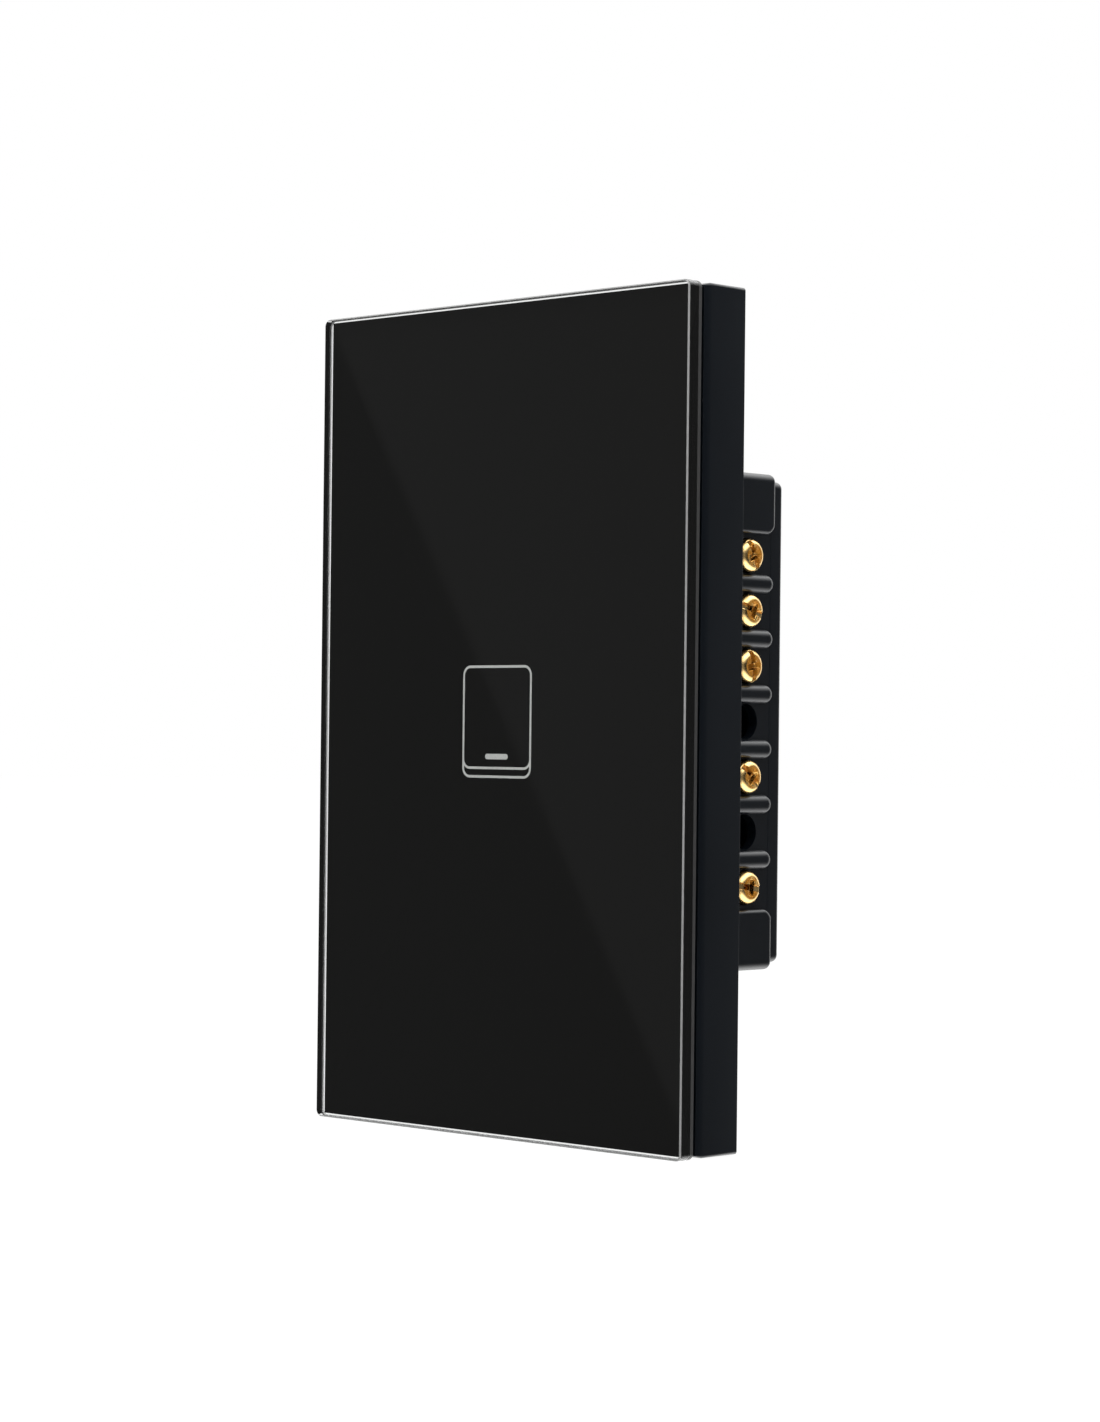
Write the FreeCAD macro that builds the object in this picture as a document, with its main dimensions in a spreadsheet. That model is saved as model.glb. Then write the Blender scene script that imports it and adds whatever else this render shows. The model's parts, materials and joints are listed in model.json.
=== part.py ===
import FreeCAD, Part

import os
import re

import Sketcher
from FreeCAD import Placement, Rotation, Vector

# Smart light switch for one wall box: a glass touch panel on a snap-on frame, a steel mounting plate
# and a rear module with screw terminals. All sizes are in millimetres.
# +X is to the right seen from the room, +Y points into the wall and +Z up. The origin is the middle
# of the two box screws, on the wall plane, which is the mounting plate's rear face.

SIZES = {
    # glass, its print and the tape that carries it
    "panel_wide": 74.0,
    "panel_high": 120.0,
    "glass_thick": 2.8,
    "glass_corner": 1.0,
    "glass_bevel": 0.3,
    "print_thick": 0.1,
    "print_inset": 0.4,
    "shadow_gap": 0.7,
    "tape_inset": 1.2,
    "tape_wide": 3.0,
    # touch mark: the outline of a rocker key with a bar
    "mark_wide": 13.6,
    "mark_high": 14.6,
    "mark_line": 0.36,
    "mark_corner": 1.3,
    "mark_drop": 1.25,
    "mark_shift": -0.7,
    "mark_rise": 0.2,
    "bar_long": 4.6,
    "bar_thick": 0.8,
    "bar_drop": 5.65,
    # frame behind the glass
    "frame_inset": 0.1,
    "frame_deep": 8.2,
    "frame_wall": 2.0,
    "frame_corner": 0.45,
    "lip_wide": 5.0,
    "lip_thick": 1.6,
    "slope_deep": 1.2,
    "slope_inset": 0.35,
    "catch_high": 0.6,
    "catch_thick": 0.8,
    "catch_gap": 3.2,
    "catch_long": 10.0,
    # steel mounting plate and the spring clips on it
    "plate_gap": 1.4,
    "plate_thick": 1.2,
    "plate_corner": 3.0,
    "box_screw_spacing": 83.3,
    "box_slot_long": 7.0,
    "box_slot_radius": 2.1,
    "clip_rise": 38.0,
    "clip_wide": 8.0,
    "clip_foot_gap": 0.85,
    "clip_thick": 0.4,
    "clip_tall": 5.2,
    "clip_bead": 0.7,
    "rivet_rise": 28.0,
    "rivet_radius": 1.2,
    "rivet_head": 1.8,
    "rivet_head_tall": 0.8,
    "rivet_dome": 0.5,
    # rear housing
    "module_wide": 48.0,
    "module_high": 72.0,
    "module_deep": 22.2,
    "module_wall": 1.6,
    "module_corner": 1.2,
    "module_rear_edge": 0.8,
    "flange_lap": 4.8,
    "flange_end_lap": 1.6,
    "flange_thick": 1.5,
    # terminal cells on the housing's right side
    "cell_pitch": 8.0,
    "cell_deep": 1.2,
    "cell_start": 5.0,
    "cell_end_gap": 0.8,
    "cell_end_corner": 1.8,
    "cell_edge": 0.7,
    "rib_thick": 2.75,
    "rib_edge": 1.2,
    "screw_depth": 17.0,
    "screw_hole_radius": 2.6,
    # corner blocks inside the housing
    "block_wide": 5.2,
    "block_high": 4.6,
    "block_hole_radius": 1.0,
    "block_hole_deep": 4.4,
    # rear cover
    "rear_cover_inset": 1.2,
    "rear_cover_end_inset": 0.9,
    "rear_cover_thick": 2.8,
    "rear_cover_corner": 1.1,
    "rear_cover_edge": 0.7,
    "cover_lip_thick": 1.0,
    "cover_lip_tall": 1.8,
    "guide_wall": 0.9,
    "wire_radius": 1.5,
    "wire_funnel": 0.5,
    # front cover over the touch board
    "front_cover_lap": 0.2,
    "front_cover_end_inset": 0.2,
    "front_cover_deep": 4.5,
    "front_cover_wall": 1.2,
    "front_cover_corner": 2.0,
    "front_cover_edge": 0.6,
    "post_radius": 2.0,
    "post_long": 2.4,
    "post_side_gap": 0.85,
    "post_end_gap": 3.9,
    # boards and the plug between them
    "touch_board_thick": 1.2,
    "power_board_thick": 1.6,
    "power_board_seat": 10.8,
    "board_gap": 0.6,
    "link_gap": 2.35,
    "link_pitch": 2.54,
    "link_count": 6,
    "link_wide": 2.5,
    "link_pin": 0.64,
    "socket_tall": 8.5,
    "header_tall": 2.5,
    "pin_grip": 5.1,
    "pin_tail": 1.2,
    "pin_floor": 1.0,
    # small screws
    "small_screw_radius": 0.9,
    "small_head_radius": 1.7,
    "small_head_tall": 0.9,
    "small_screw_grip": 2.8,
    "small_slot": 0.5,
    "small_slot_deep": 0.45,
    # touch spring, light and chips
    "spring_radius": 4.2,
    "wire_half": 0.3,
    "spring_turns": 4,
    "spring_rise": 2.3,
    "spring_hole_gap": 0.8,
    "guide_flange": 0.8,
    "light_wide": 3.2,
    "light_high": 1.6,
    "light_tall": 0.8,
    "chip_long": 6.0,
    "chip_wide": 4.0,
    "chip_tall": 1.2,
    "chip_above_link": 12.0,
    "chip_leg_count": 4,
    "chip_leg_pitch": 1.5,
    "chip_leg_wide": 0.5,
    "chip_leg_thick": 0.3,
    "chip_leg_out": 1.0,
    "radio_wide": 16.0,
    "radio_high": 24.0,
    "radio_thick": 0.8,
    "radio_side_gap": 8.0,
    "radio_low_end": 5.0,
    "shield_wide": 13.0,
    "shield_high": 16.0,
    "shield_tall": 2.2,
    "shield_margin": 5.0,
    "shield_edge": 0.3,
    # terminal cage, clamp plate and screw
    "cage_clearance": 2.2,
    "cage_wall": 1.2,
    "cage_room": 5.8,
    "cage_high": 6.6,
    "cage_side_wall": 1.0,
    "cage_deep": 10.2,
    "cage_gap": 3.8,
    "cage_pin": 0.8,
    "clamp_thick": 1.2,
    "clamp_gap": 1.4,
    "clamp_wide": 6.4,
    "clamp_high": 4.2,
    "terminal_screw_radius": 1.45,
    "terminal_head_radius": 2.45,
    "terminal_head_tall": 2.5,
    "terminal_head_proud": 1.7,
    "terminal_head_edge": 1.2,
    "terminal_slot": 0.75,
    "terminal_slot_deep": 1.1,
    "terminal_cross_long": 3.2,
    "tip_radius": 0.9,
    "running_gap": 0.05,
    # relay
    "relay_wide": 15.5,
    "relay_high": 19.0,
    "relay_tall": 9.8,
    "relay_wall": 0.7,
    "relay_edge": 0.4,
    "relay_base_thick": 1.2,
    "relay_pin_wide": 10.4,
    "relay_pin_high": 12.6,
    "relay_side_gap": 1.45,
    "relay_end_gap": 5.9,
    "coil_radius": 2.8,
    "coil_long": 10.0,
    "coil_end_thick": 0.6,
    "coil_end_radius": 3.1,
    "core_radius": 1.2,
    "core_proud": 1.0,
    "yoke_thick": 0.9,
    "yoke_wide": 6.0,
    "armature_wide": 11.0,
    "armature_thick": 0.8,
    "armature_gap": 0.5,
    "armature_bead": 0.3,
    "contact_radius": 0.9,
    "contact_tall": 0.22,
    "contact_gap": 0.45,
    "blade_thick": 0.3,
    # other parts on the power board
    "capacitor_radius": 5.0,
    "capacitor_tall": 9.6,
    "capacitor_edge": 0.5,
    "capacitor_lead_pitch": 5.0,
    "capacitor_side_gap": 2.9,
    "capacitor_end_gap": 7.9,
    "core_wide": 13.0,
    "core_high": 14.0,
    "core_deep": 5.0,
    "core_leg": 4.0,
    "core_yoke": 2.6,
    "coil_body_tall": 9.4,
    "transformer_side_gap": 3.9,
    "transformer_gap": 6.0,
    # clearance of pieces that slot together, and how far a cut runs past the face it opens
    "fit_gap": 0.15,
    "overrun": 1.0,
}

# Values worked out from the sizes: y positions from the room to the wall box, then x and z.
PLACES = {
    "frame_front": "-frame_deep",
    "print_back": "frame_front - shadow_gap",
    "glass_back": "print_back - print_thick",
    "glass_front": "glass_back - glass_thick",
    "lip_back": "frame_front + lip_thick",
    "plate_front": "-plate_thick",
    "flange_front": "plate_front - flange_thick",
    "cover_front": "flange_front - front_cover_deep",
    "cover_inside": "cover_front + front_cover_wall",
    "touch_front": "cover_inside + post_long",
    "touch_back": "touch_front + touch_board_thick",
    "power_front": "power_board_seat - power_board_thick",
    "cage_back": "power_board_seat + cage_deep",
    "rear_face": "module_deep + rear_cover_thick",
    "guide_front": "cage_back + 2 * fit_gap",
    "frame_side": "panel_wide / 2 - frame_inset",
    "frame_end": "panel_high / 2 - frame_inset",
    "frame_inner_side": "frame_side - frame_wall",
    "frame_inner_end": "frame_end - frame_wall",
    "plate_side": "frame_inner_side - plate_gap",
    "plate_end": "frame_inner_end - plate_gap",
    "clip_side": "plate_side + fit_gap",
    "module_side": "module_wide / 2",
    "module_end": "module_high / 2",
    "flange_side": "module_side + flange_lap",
    "flange_end": "module_end + flange_end_lap",
    "rivet_side": "module_side + flange_lap / 2",
    "cell_floor": "module_side - cell_deep",
    "cell_inside": "cell_floor - module_wall",
    "left_inside": "module_wall - module_side",
    "end_inside": "module_end - module_wall",
    "cell_end": "3.5 * cell_pitch - cell_end_gap",
    "cage_outer": "cell_inside - cage_clearance",
    "cage_room_outer": "cage_outer - cage_wall",
    "cage_room_inner": "cage_room_outer - cage_room",
    "cage_inner": "cage_room_inner - cage_wall",
    "clamp_outer": "cage_room_outer - clamp_gap",
    "clamp_inner": "clamp_outer - clamp_thick",
    "wire_side": "cage_room_inner + wire_radius + fit_gap",
    "head_top": "cell_floor + terminal_head_proud",
    "head_seat": "head_top - terminal_head_tall",
    "left_block": "left_inside + block_wide / 2",
    "right_block": "cell_inside - block_wide / 2",
    "block_rise": "end_inside - block_high / 2",
    "post_side": "cell_inside - fit_gap - cover_lip_thick - small_head_radius - post_side_gap",
    "post_rise": "end_inside - post_end_gap",
    "rear_cover_side": "module_side - rear_cover_inset",
    "rear_cover_end": "module_end - rear_cover_end_inset",
    "front_cover_side": "module_side + front_cover_lap",
    "front_cover_end": "module_end - front_cover_end_inset",
    "link_side": "cage_inner - link_gap - link_wide / 2",
    "relay_side": "left_inside + relay_side_gap + relay_wide / 2",
    "relay_rise": "relay_end_gap + relay_high / 2 - end_inside",
    "transformer_side": "left_inside + transformer_side_gap + core_wide / 2",
    "transformer_rise": "relay_rise + relay_high / 2 + transformer_gap + core_high / 2",
    "capacitor_side": "left_inside + capacitor_side_gap + capacitor_radius",
    "capacitor_rise": "end_inside - capacitor_end_gap - capacitor_radius",
}

# The cells that hold a terminal, counted from the middle cell upwards; the other two stay empty.
FITTED_CELLS = (3, 2, 1, -1, -3)
ALL_CELLS = range(-3, 4)
# How far each terminal screw happens to be turned, in degrees.
SCREW_TWISTS = (25, 70, 10, 48, 82)
# A new sketch's lines are drawn this long, before its dimensions take over.
ROUGH = 9.0
TURNS = {"x": Rotation(Vector(0, 1, 0), 90), "y": Rotation(Vector(1, 0, 0), -90), "z": Rotation()}

doc = FreeCAD.newDocument("light_switch")
sheet = doc.addObject("Spreadsheet::Sheet", "sizes")
for row, (alias, size) in enumerate(SIZES.items(), 1):
    sheet.set(f"A{row}", alias)
    sheet.set(f"B{row}", str(size))
    sheet.setAlias(f"B{row}", alias)
places = doc.addObject("App::VarSet", "places")
WORDS = {alias: "sizes." + alias for alias in SIZES} | {name: "places." + name for name in PLACES}
NODES = {}


def formula(rule):
    """The rule with each size and place named by the object that holds it."""
    return re.sub(r"[a-z][a-z_]*", lambda word: WORDS.get(word.group(), word.group()), str(rule))


def number(name):
    """One size or place as a plain number."""
    return sheet.get(name) if name in SIZES else getattr(places, name)


def bind(item, **rules):
    for path, rule in rules.items():
        item.setExpression(path, formula(rule))


def put(item, **spots):
    for axis, rule in spots.items():
        item.setExpression(f"Placement.Base.{axis}", formula(rule))


def around(middle, wide):
    """The low and high end of a span from its middle and its width."""
    return f"({middle}) - ({wide}) / 2", f"({middle}) + ({wide}) / 2"


def mirrored(side, span):
    """A span on the positive side, or its mirror image on the negative one."""
    low, high = span
    return (low, high) if side > 0 else (f"-({high})", f"-({low})")


def block(x, y, z):
    """A rectangular block between a low and a high end along each axis."""
    item = doc.addObject("Part::Box", "Block")
    for side, axis, (low, high) in zip(("Length", "Width", "Height"), "xyz", (x, y, z)):
        bind(item, **{side: f"({high}) - ({low})"})
        put(item, **{axis: low})
    return item


def rod(axis, radius, span, **across):
    """A round bar along one axis, at a place on the other two."""
    item = doc.addObject("Part::Cylinder", "Rod")
    bind(item, Radius=radius, Height=f"({span[1]}) - ({span[0]})")
    item.Placement = Placement(Vector(), TURNS[axis])
    put(item, **{axis: span[0]}, **across)
    return item


def join(*items):
    item = doc.addObject("Part::MultiFuse", "Joined")
    item.Shapes = list(items)
    item.Refine = True
    return item


def cut(base, *tools):
    item = doc.addObject("Part::Cut", "Cut")
    item.Base = base
    item.Tool = tools[0] if len(tools) == 1 else join(*tools)
    item.Refine = True
    return item


def runs_along(edge, axis):
    """True for a straight edge parallel to the axis."""
    box = edge.BoundBox
    lengths = {"x": box.XLength, "y": box.YLength, "z": box.ZLength}
    return lengths.pop(axis) > 1e-3 and max(lengths.values()) < 1e-4


def lies_on(edge, axis, value):
    """True for an edge in the plane square to the axis at the value."""
    box = edge.BoundBox
    low, high = {"x": (box.XMin, box.XMax), "y": (box.YMin, box.YMax), "z": (box.ZMin, box.ZMax)}[axis]
    return abs(low - value) < 1e-3 and abs(high - value) < 1e-3


def soften(base, radius, pick):
    """Round the picked edges of a piece."""
    doc.recompute()
    item = doc.addObject("Part::Fillet", "Softened")
    item.Base = base
    item.Edges = [(i, radius, radius) for i, edge in enumerate(base.Shape.Edges, 1) if pick(edge)]
    return item


def keep(node, item):
    """Name a finished piece and list it for the output."""
    item.Label = node
    NODES[node] = item
    return item


def new_body(node):
    return keep(node, doc.addObject("PartDesign::Body", node))


def draw_rectangle(sketch, x, z):
    """A rectangle in a sketch, between a low and a high end along x and along z."""
    first = sketch.GeometryCount
    corners = [Vector(0, 0), Vector(ROUGH, 0), Vector(ROUGH, ROUGH), Vector(0, ROUGH)]
    for start, end in zip(corners, corners[1:] + corners[:1]):
        sketch.addGeometry(Part.LineSegment(start, end))
    for side in range(4):
        sketch.addConstraint(Sketcher.Constraint("Coincident", first + side, 2, first + (side + 1) % 4, 1))
        kind = "Vertical" if side % 2 else "Horizontal"
        sketch.addConstraint(Sketcher.Constraint(kind, first + side))
    hold(sketch, "DistanceX", (-1, 1, first, 1), x[0])
    hold(sketch, "DistanceY", (-1, 1, first, 1), z[0])
    hold(sketch, "DistanceX", (first, 1, first, 2), f"({x[1]}) - ({x[0]})")
    hold(sketch, "DistanceY", (first + 1, 1, first + 1, 2), f"({z[1]}) - ({z[0]})")


def draw_circle(sketch, x, z, radius):
    first = sketch.addGeometry(Part.Circle(Vector(ROUGH, ROUGH), Vector(0, 0, 1), ROUGH))
    hold(sketch, "DistanceX", (-1, 1, first, 3), x)
    hold(sketch, "DistanceY", (-1, 1, first, 3), z)
    hold(sketch, "Radius", (first,), radius)


def hold(sketch, kind, ends, rule):
    """A dimension of a sketch that follows a rule."""
    index = sketch.addConstraint(Sketcher.Constraint(kind, *ends, ROUGH))
    sketch.setExpression(f"Constraints[{index}]", formula(rule))


def sketch_at(body, y, rectangles, circles):
    """A sketch square to the y axis at the given depth, with its shapes."""
    sketch = body.newObject("Sketcher::SketchObject", "Sketch")
    plane = next(item for item in body.Origin.OriginFeatures if item.Role == "XZ_Plane")
    sketch.AttachmentSupport = [(plane, "")]
    sketch.MapMode = "FlatFace"
    sketch.setExpression("AttachmentOffset.Base.z", formula(f"-({y})"))
    for x, z in rectangles:
        draw_rectangle(sketch, x, z)
    for x, z, radius in circles:
        draw_circle(sketch, x, z, radius)
    return sketch


def pad(body, y, rectangles=(), circles=()):
    """Add material between a front and a rear depth."""
    sketch = sketch_at(body, y[1], rectangles, circles)
    item = body.newObject("PartDesign::Pad", "Pad")
    item.Profile = sketch
    bind(item, Length=f"({y[1]}) - ({y[0]})")
    return item


def pocket(body, y, rectangles=(), circles=()):
    """Take material away between a front and a rear depth."""
    sketch = sketch_at(body, y[0], rectangles, circles)
    item = body.newObject("PartDesign::Pocket", "Pocket")
    item.Profile = sketch
    bind(item, Length=f"({y[1]}) - ({y[0]})")
    return item


def dress(body, kind, size, pick, second_size=None):
    """Round or bevel the picked edges of a body. A slope has two sizes: along y and inwards."""
    doc.recompute()
    last = body.Tip
    edges = [f"Edge{i}" for i, edge in enumerate(last.Shape.Edges, 1) if pick(edge)]
    item = body.newObject("PartDesign::" + kind, kind)
    item.Base = (last, edges)
    bind(item, **{"Radius" if kind == "Fillet" else "Size": size})
    if second_size:
        item.ChamferType = "Two distances"
        bind(item, Size2=second_size)
    return item


def centred(wide, high):
    return around(0, wide), around(0, high)


def work_out_places():
    for name in PLACES:
        places.addProperty("App::PropertyFloat", name, "Places")
    for name, rule in PLACES.items():
        places.setExpression(name, formula(rule))
    doc.recompute()


def glass_panel():
    body = new_body("glass_panel")
    pad(body, ("glass_front", "glass_back"), [centred("panel_wide", "panel_high")])
    dress(body, "Fillet", "glass_corner", lambda edge: runs_along(edge, "y"))
    faces = (number("glass_front"), number("glass_back"))
    dress(body, "Chamfer", "glass_bevel", lambda edge: any(lies_on(edge, "y", y) for y in faces))


def rounded_plate(x, y, z, radius):
    """A thin block with its four corners rounded."""
    return soften(block(x, y, z), radius, lambda edge: runs_along(edge, "y"))


def key_outline(wide_change, drop):
    """The rounded outline of the touch mark's key, wider or narrower by a share of its line."""
    x = around("mark_shift", f"mark_wide + {wide_change} * mark_line")
    z = around(f"mark_rise - {drop}", f"mark_high + {wide_change} * mark_line")
    radius = number("mark_corner") + wide_change * number("mark_line") / 2
    return rounded_plate(x, ("glass_back", "glass_back + print_thick / 2"), z, radius)


def touch_mark():
    """The outline of a key, the edge of its lower lip and a bar."""
    ring = cut(key_outline(1, "0"), key_outline(-1, "0"))
    lip = cut(key_outline(1, "mark_drop"), join(key_outline(-1, "mark_drop"), key_outline(1, "0")))
    y = ("glass_back", "print_back")
    bar_rise = "mark_rise - bar_drop"
    bar_end = "(bar_long - bar_thick) / 2"
    bar = [block(around("mark_shift", "bar_long - bar_thick"), y, around(bar_rise, "bar_thick"))]
    for side in (-1, 1):
        bar.append(rod("y", "bar_thick / 2", y, x=f"mark_shift + {side} * {bar_end}", z=bar_rise))
    return keep("touch_mark", join(ring, lip, join(*bar)))


def back_print(mark):
    wide, high = (f"{name} - 2 * print_inset" for name in ("panel_wide", "panel_high"))
    x, z = centred(wide, high)
    keep("back_print", cut(block(x, ("glass_back", "print_back"), z), mark))


def panel_tape():
    body = new_body("panel_tape")
    y = ("print_back", "frame_front")
    inset = "2 * (frame_inset + slope_inset + tape_inset)"
    pad(body, y, [centred(f"panel_wide - {inset}", f"panel_high - {inset}")])
    inset = f"({inset} + 2 * tape_wide)"
    pocket(body, y, [centred(f"panel_wide - {inset}", f"panel_high - {inset}")])


def panel_frame():
    """A moulded ring with a sloped front edge, a lip for the tape and ridges for the clips."""
    body = new_body("panel_frame")
    pad(body, ("frame_front", "0"), [centred("2 * frame_side", "2 * frame_end")])
    dress(body, "Fillet", "frame_corner", lambda edge: runs_along(edge, "y"))
    front = number("frame_front")
    dress(body, "Chamfer", "slope_deep", lambda edge: lies_on(edge, "y", front), "slope_inset")
    pocket(body, ("frame_front", "lip_back"), [centred("2 * (frame_side - lip_wide)",
                                                       "2 * (frame_end - lip_wide)")])
    pocket(body, ("lip_back", "0"), [centred("2 * frame_inner_side", "2 * frame_inner_end")])
    ridges = []
    for side in (-1, 1):
        for end in (-1, 1):
            x = mirrored(side, ("frame_inner_side - catch_high", "frame_inner_side + frame_wall / 2"))
            ridges.append((x, around(f"{end} * clip_rise", "catch_long")))
    pad(body, ("-catch_gap - catch_thick", "-catch_gap"), ridges)


def mounting_plate():
    body = new_body("mounting_plate")
    y = ("plate_front", "0")
    pad(body, y, [centred("2 * plate_side", "2 * plate_end")])
    dress(body, "Fillet", "plate_corner", lambda edge: runs_along(edge, "y"))
    pocket(body, y, [centred("module_wide + 2 * fit_gap", "module_high + 2 * fit_gap")])
    straight = "box_slot_long - 2 * box_slot_radius"
    slots = [(around(0, "2 * box_slot_radius"), around(f"{end} * box_screw_spacing / 2", straight))
             for end in (-1, 1)]
    ends = [("0", f"{end} * box_screw_spacing / 2 + {half} * ({straight}) / 2", "box_slot_radius")
            for end in (-1, 1) for half in (-1, 1)]
    pocket(body, y, slots)
    pocket(body, y, circles=ends)
    pocket(body, y, circles=[(x, z, "rivet_radius + running_gap") for x, z in rivet_spots()])


def rivet_spots():
    return [(f"{side} * rivet_side", f"{end} * rivet_rise") for side in (-1, 1) for end in (1, -1)]


def plate_rivets():
    for count, (x, z) in enumerate(rivet_spots(), 1):
        shank = rod("y", "rivet_radius", ("flange_front", "0"), x=x, z=z)
        head = rod("y", "rivet_head", ("flange_front - rivet_head_tall", "flange_front"), x=x, z=z)
        top = number("flange_front") - number("rivet_head_tall")
        domed = soften(head, number("rivet_dome"), lambda edge: lies_on(edge, "y", top))
        keep(f"plate_rivet_{count}", join(shank, domed))


def panel_clips():
    """Bent spring strips on the plate, each with a bead that snaps over a ridge of the frame."""
    bead_place = "-catch_gap - catch_thick - fit_gap - clip_bead"
    count = 0
    for side in (-1, 1):
        for end in (1, -1):
            count += 1
            z = around(f"{end} * clip_rise", "clip_wide")
            foot_x = mirrored(side, ("flange_side + clip_foot_gap", "clip_side + clip_thick"))
            leaf_x = mirrored(side, ("clip_side", "clip_side + clip_thick"))
            foot = block(foot_x, ("plate_front - clip_thick", "plate_front"), z)
            leaf = block(leaf_x, ("plate_front - clip_tall", "plate_front"), z)
            bead = rod("z", "clip_bead", z, x=f"{side} * (clip_side + clip_thick / 2)", y=bead_place)
            keep(f"panel_clip_{count}", join(foot, leaf, bead))


def corner_spots():
    """The middles of the housing's four corner blocks."""
    return [(x, f"{end} * block_rise") for x in ("left_block", "right_block") for end in (1, -1)]


def housing_shell():
    """The housing's box with the recess of its terminal cells, before ribs and holes."""
    x, z = centred("module_wide", "module_high")
    box = soften(block(x, ("plate_front", "module_deep"), z), number("module_corner"),
                 lambda edge: runs_along(edge, "y"))
    rear = number("module_deep")
    box = soften(box, number("module_rear_edge"), lambda edge: lies_on(edge, "y", rear))
    recess_x = ("cell_floor", "module_side + cell_deep")
    recess = [block(recess_x, ("cell_start", "module_deep + cell_deep"), around(0, "2 * cell_end"))]
    for side in (-1, 1):
        corner = block(recess_x, ("module_deep - cell_end_corner", "module_deep + cell_deep"),
                       mirrored(side, ("cell_end - cell_deep", "cell_end + cell_end_corner")))
        recess.append(cut(corner, rod("x", "cell_end_corner", recess_x, y="module_deep - cell_end_corner",
                                      z=f"{side} * (cell_end + cell_end_corner)")))
    opened = cut(box, *recess)
    face, start, reach = number("module_side"), number("cell_start"), number("cell_end") + 2e-3
    return soften(opened, number("cell_edge"), lambda edge: lies_on(edge, "x", face)
                  and runs_along(edge, "y") and edge.BoundBox.YMin > start - 1e-3
                  and abs(edge.BoundBox.ZMax) < reach)


def cell_rib(place):
    """A rib between two cells, with a half-round nose at the rear and rounded edges."""
    x = ("cell_floor - module_wall / 2", "module_side")
    y = ("cell_start - rib_thick", "module_deep - rib_thick / 2")
    bar = block(x, y, around(place, "rib_thick"))
    nose = rod("x", "rib_thick / 2", x, y=y[1], z=place)
    side, start = number("module_side"), number("cell_start") - number("rib_thick")
    return soften(join(bar, nose), number("rib_edge"),
                  lambda edge: lies_on(edge, "x", side) and not lies_on(edge, "y", start))


def rear_housing():
    flange_x, flange_z = centred("2 * flange_side", "2 * flange_end")
    flange = soften(block(flange_x, ("flange_front", "plate_front"), flange_z), number("module_corner"),
                    lambda edge: runs_along(edge, "y"))
    room = block(("left_inside", "cell_inside"), ("flange_front - overrun", "module_deep + overrun"),
                 around(0, "2 * end_inside"))
    ribs = [cell_rib(f"{cell} * cell_pitch + cell_pitch / 2") for cell in range(-3, 3)]
    shell = cut(join(housing_shell(), flange), room)
    holes = [rod("x", "screw_hole_radius", ("cell_inside - overrun", "module_side + overrun"),
                 y="screw_depth", z=f"{cell} * cell_pitch") for cell in ALL_CELLS]
    blocks = []
    for x, z in corner_spots():
        blocks.append(block(around(x, "block_wide"), ("power_board_seat", "module_deep"),
                            around(z, "block_high")))
        for y in (("power_board_seat", "power_board_seat + block_hole_deep"),
                  ("module_deep - block_hole_deep", "module_deep")):
            holes.append(rod("y", "block_hole_radius", y, x=x, z=z))
    holes += [rod("y", "rivet_radius + running_gap", ("flange_front", "plate_front"), x=x, z=z)
              for x, z in rivet_spots()]
    keep("rear_housing", cut(join(shell, *blocks, *ribs), *holes))


def rear_cover():
    """The rear plate with locating lips, a tube for each wire and sunk screw holes."""
    body = new_body("rear_cover")
    y = ("module_deep", "rear_face")
    pad(body, y, [centred("2 * rear_cover_side", "2 * rear_cover_end")])
    dress(body, "Fillet", "rear_cover_corner", lambda edge: runs_along(edge, "y"))
    rear = number("rear_face")
    dress(body, "Fillet", "rear_cover_edge", lambda edge: lies_on(edge, "y", rear))
    lip_y = ("module_deep - cover_lip_tall", "module_deep")
    upright = around(0, "2 * (end_inside - block_high - fit_gap)")
    level = ("left_inside + block_wide + fit_gap", "cell_inside - block_wide - fit_gap")
    lips = [(("left_inside + fit_gap", "left_inside + fit_gap + cover_lip_thick"), upright),
            (("cell_inside - fit_gap - cover_lip_thick", "cell_inside - fit_gap"), upright)]
    for end in (-1, 1):
        span = ("end_inside - fit_gap - cover_lip_thick", "end_inside - fit_gap")
        lips.append((level, mirrored(end, span)))
    pad(body, lip_y, lips)
    spots = [("wire_side", f"{cell} * cell_pitch") for cell in FITTED_CELLS]
    pad(body, ("guide_front", "module_deep"), circles=[(x, z, "wire_radius + guide_wall") for x, z in spots])
    pocket(body, ("guide_front", "rear_face"), circles=[(x, z, "wire_radius") for x, z in spots])
    dress(body, "Chamfer", "wire_funnel", lambda edge: lies_on(edge, "y", rear)
          and abs(edge.BoundBox.XLength - 2 * number("wire_radius")) < 1e-3)
    pocket(body, y, circles=[(x, z, "small_screw_radius + fit_gap") for x, z in corner_spots()])
    pocket(body, ("rear_face - small_head_tall", "rear_face"),
           circles=[(x, z, "small_head_radius + fit_gap") for x, z in corner_spots()])


def slotted_screw(node, x, z, seat, outwards, length):
    """A small pan-head screw along y: its head's seat, the side its head is on and its shank's length."""
    tall = "small_head_tall"
    ends = sorted((0, outwards))
    head = rod("y", "small_head_radius", tuple(f"{seat} + {end} * {tall}" for end in ends), x=x, z=z)
    shank_ends = sorted((0, -outwards))
    shank = rod("y", "small_screw_radius", tuple(f"{seat} + {end} * ({length})" for end in shank_ends),
                x=x, z=z)
    slot_y = [f"{seat} + {outwards} * ({tall} {rest})" for rest in ("- small_slot_deep", "+ overrun")]
    slot = block(around(x, "2 * small_head_radius + overrun"), slot_y[::outwards], around(z, "small_slot"))
    keep(node, cut(join(head, shank), slot))


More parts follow.
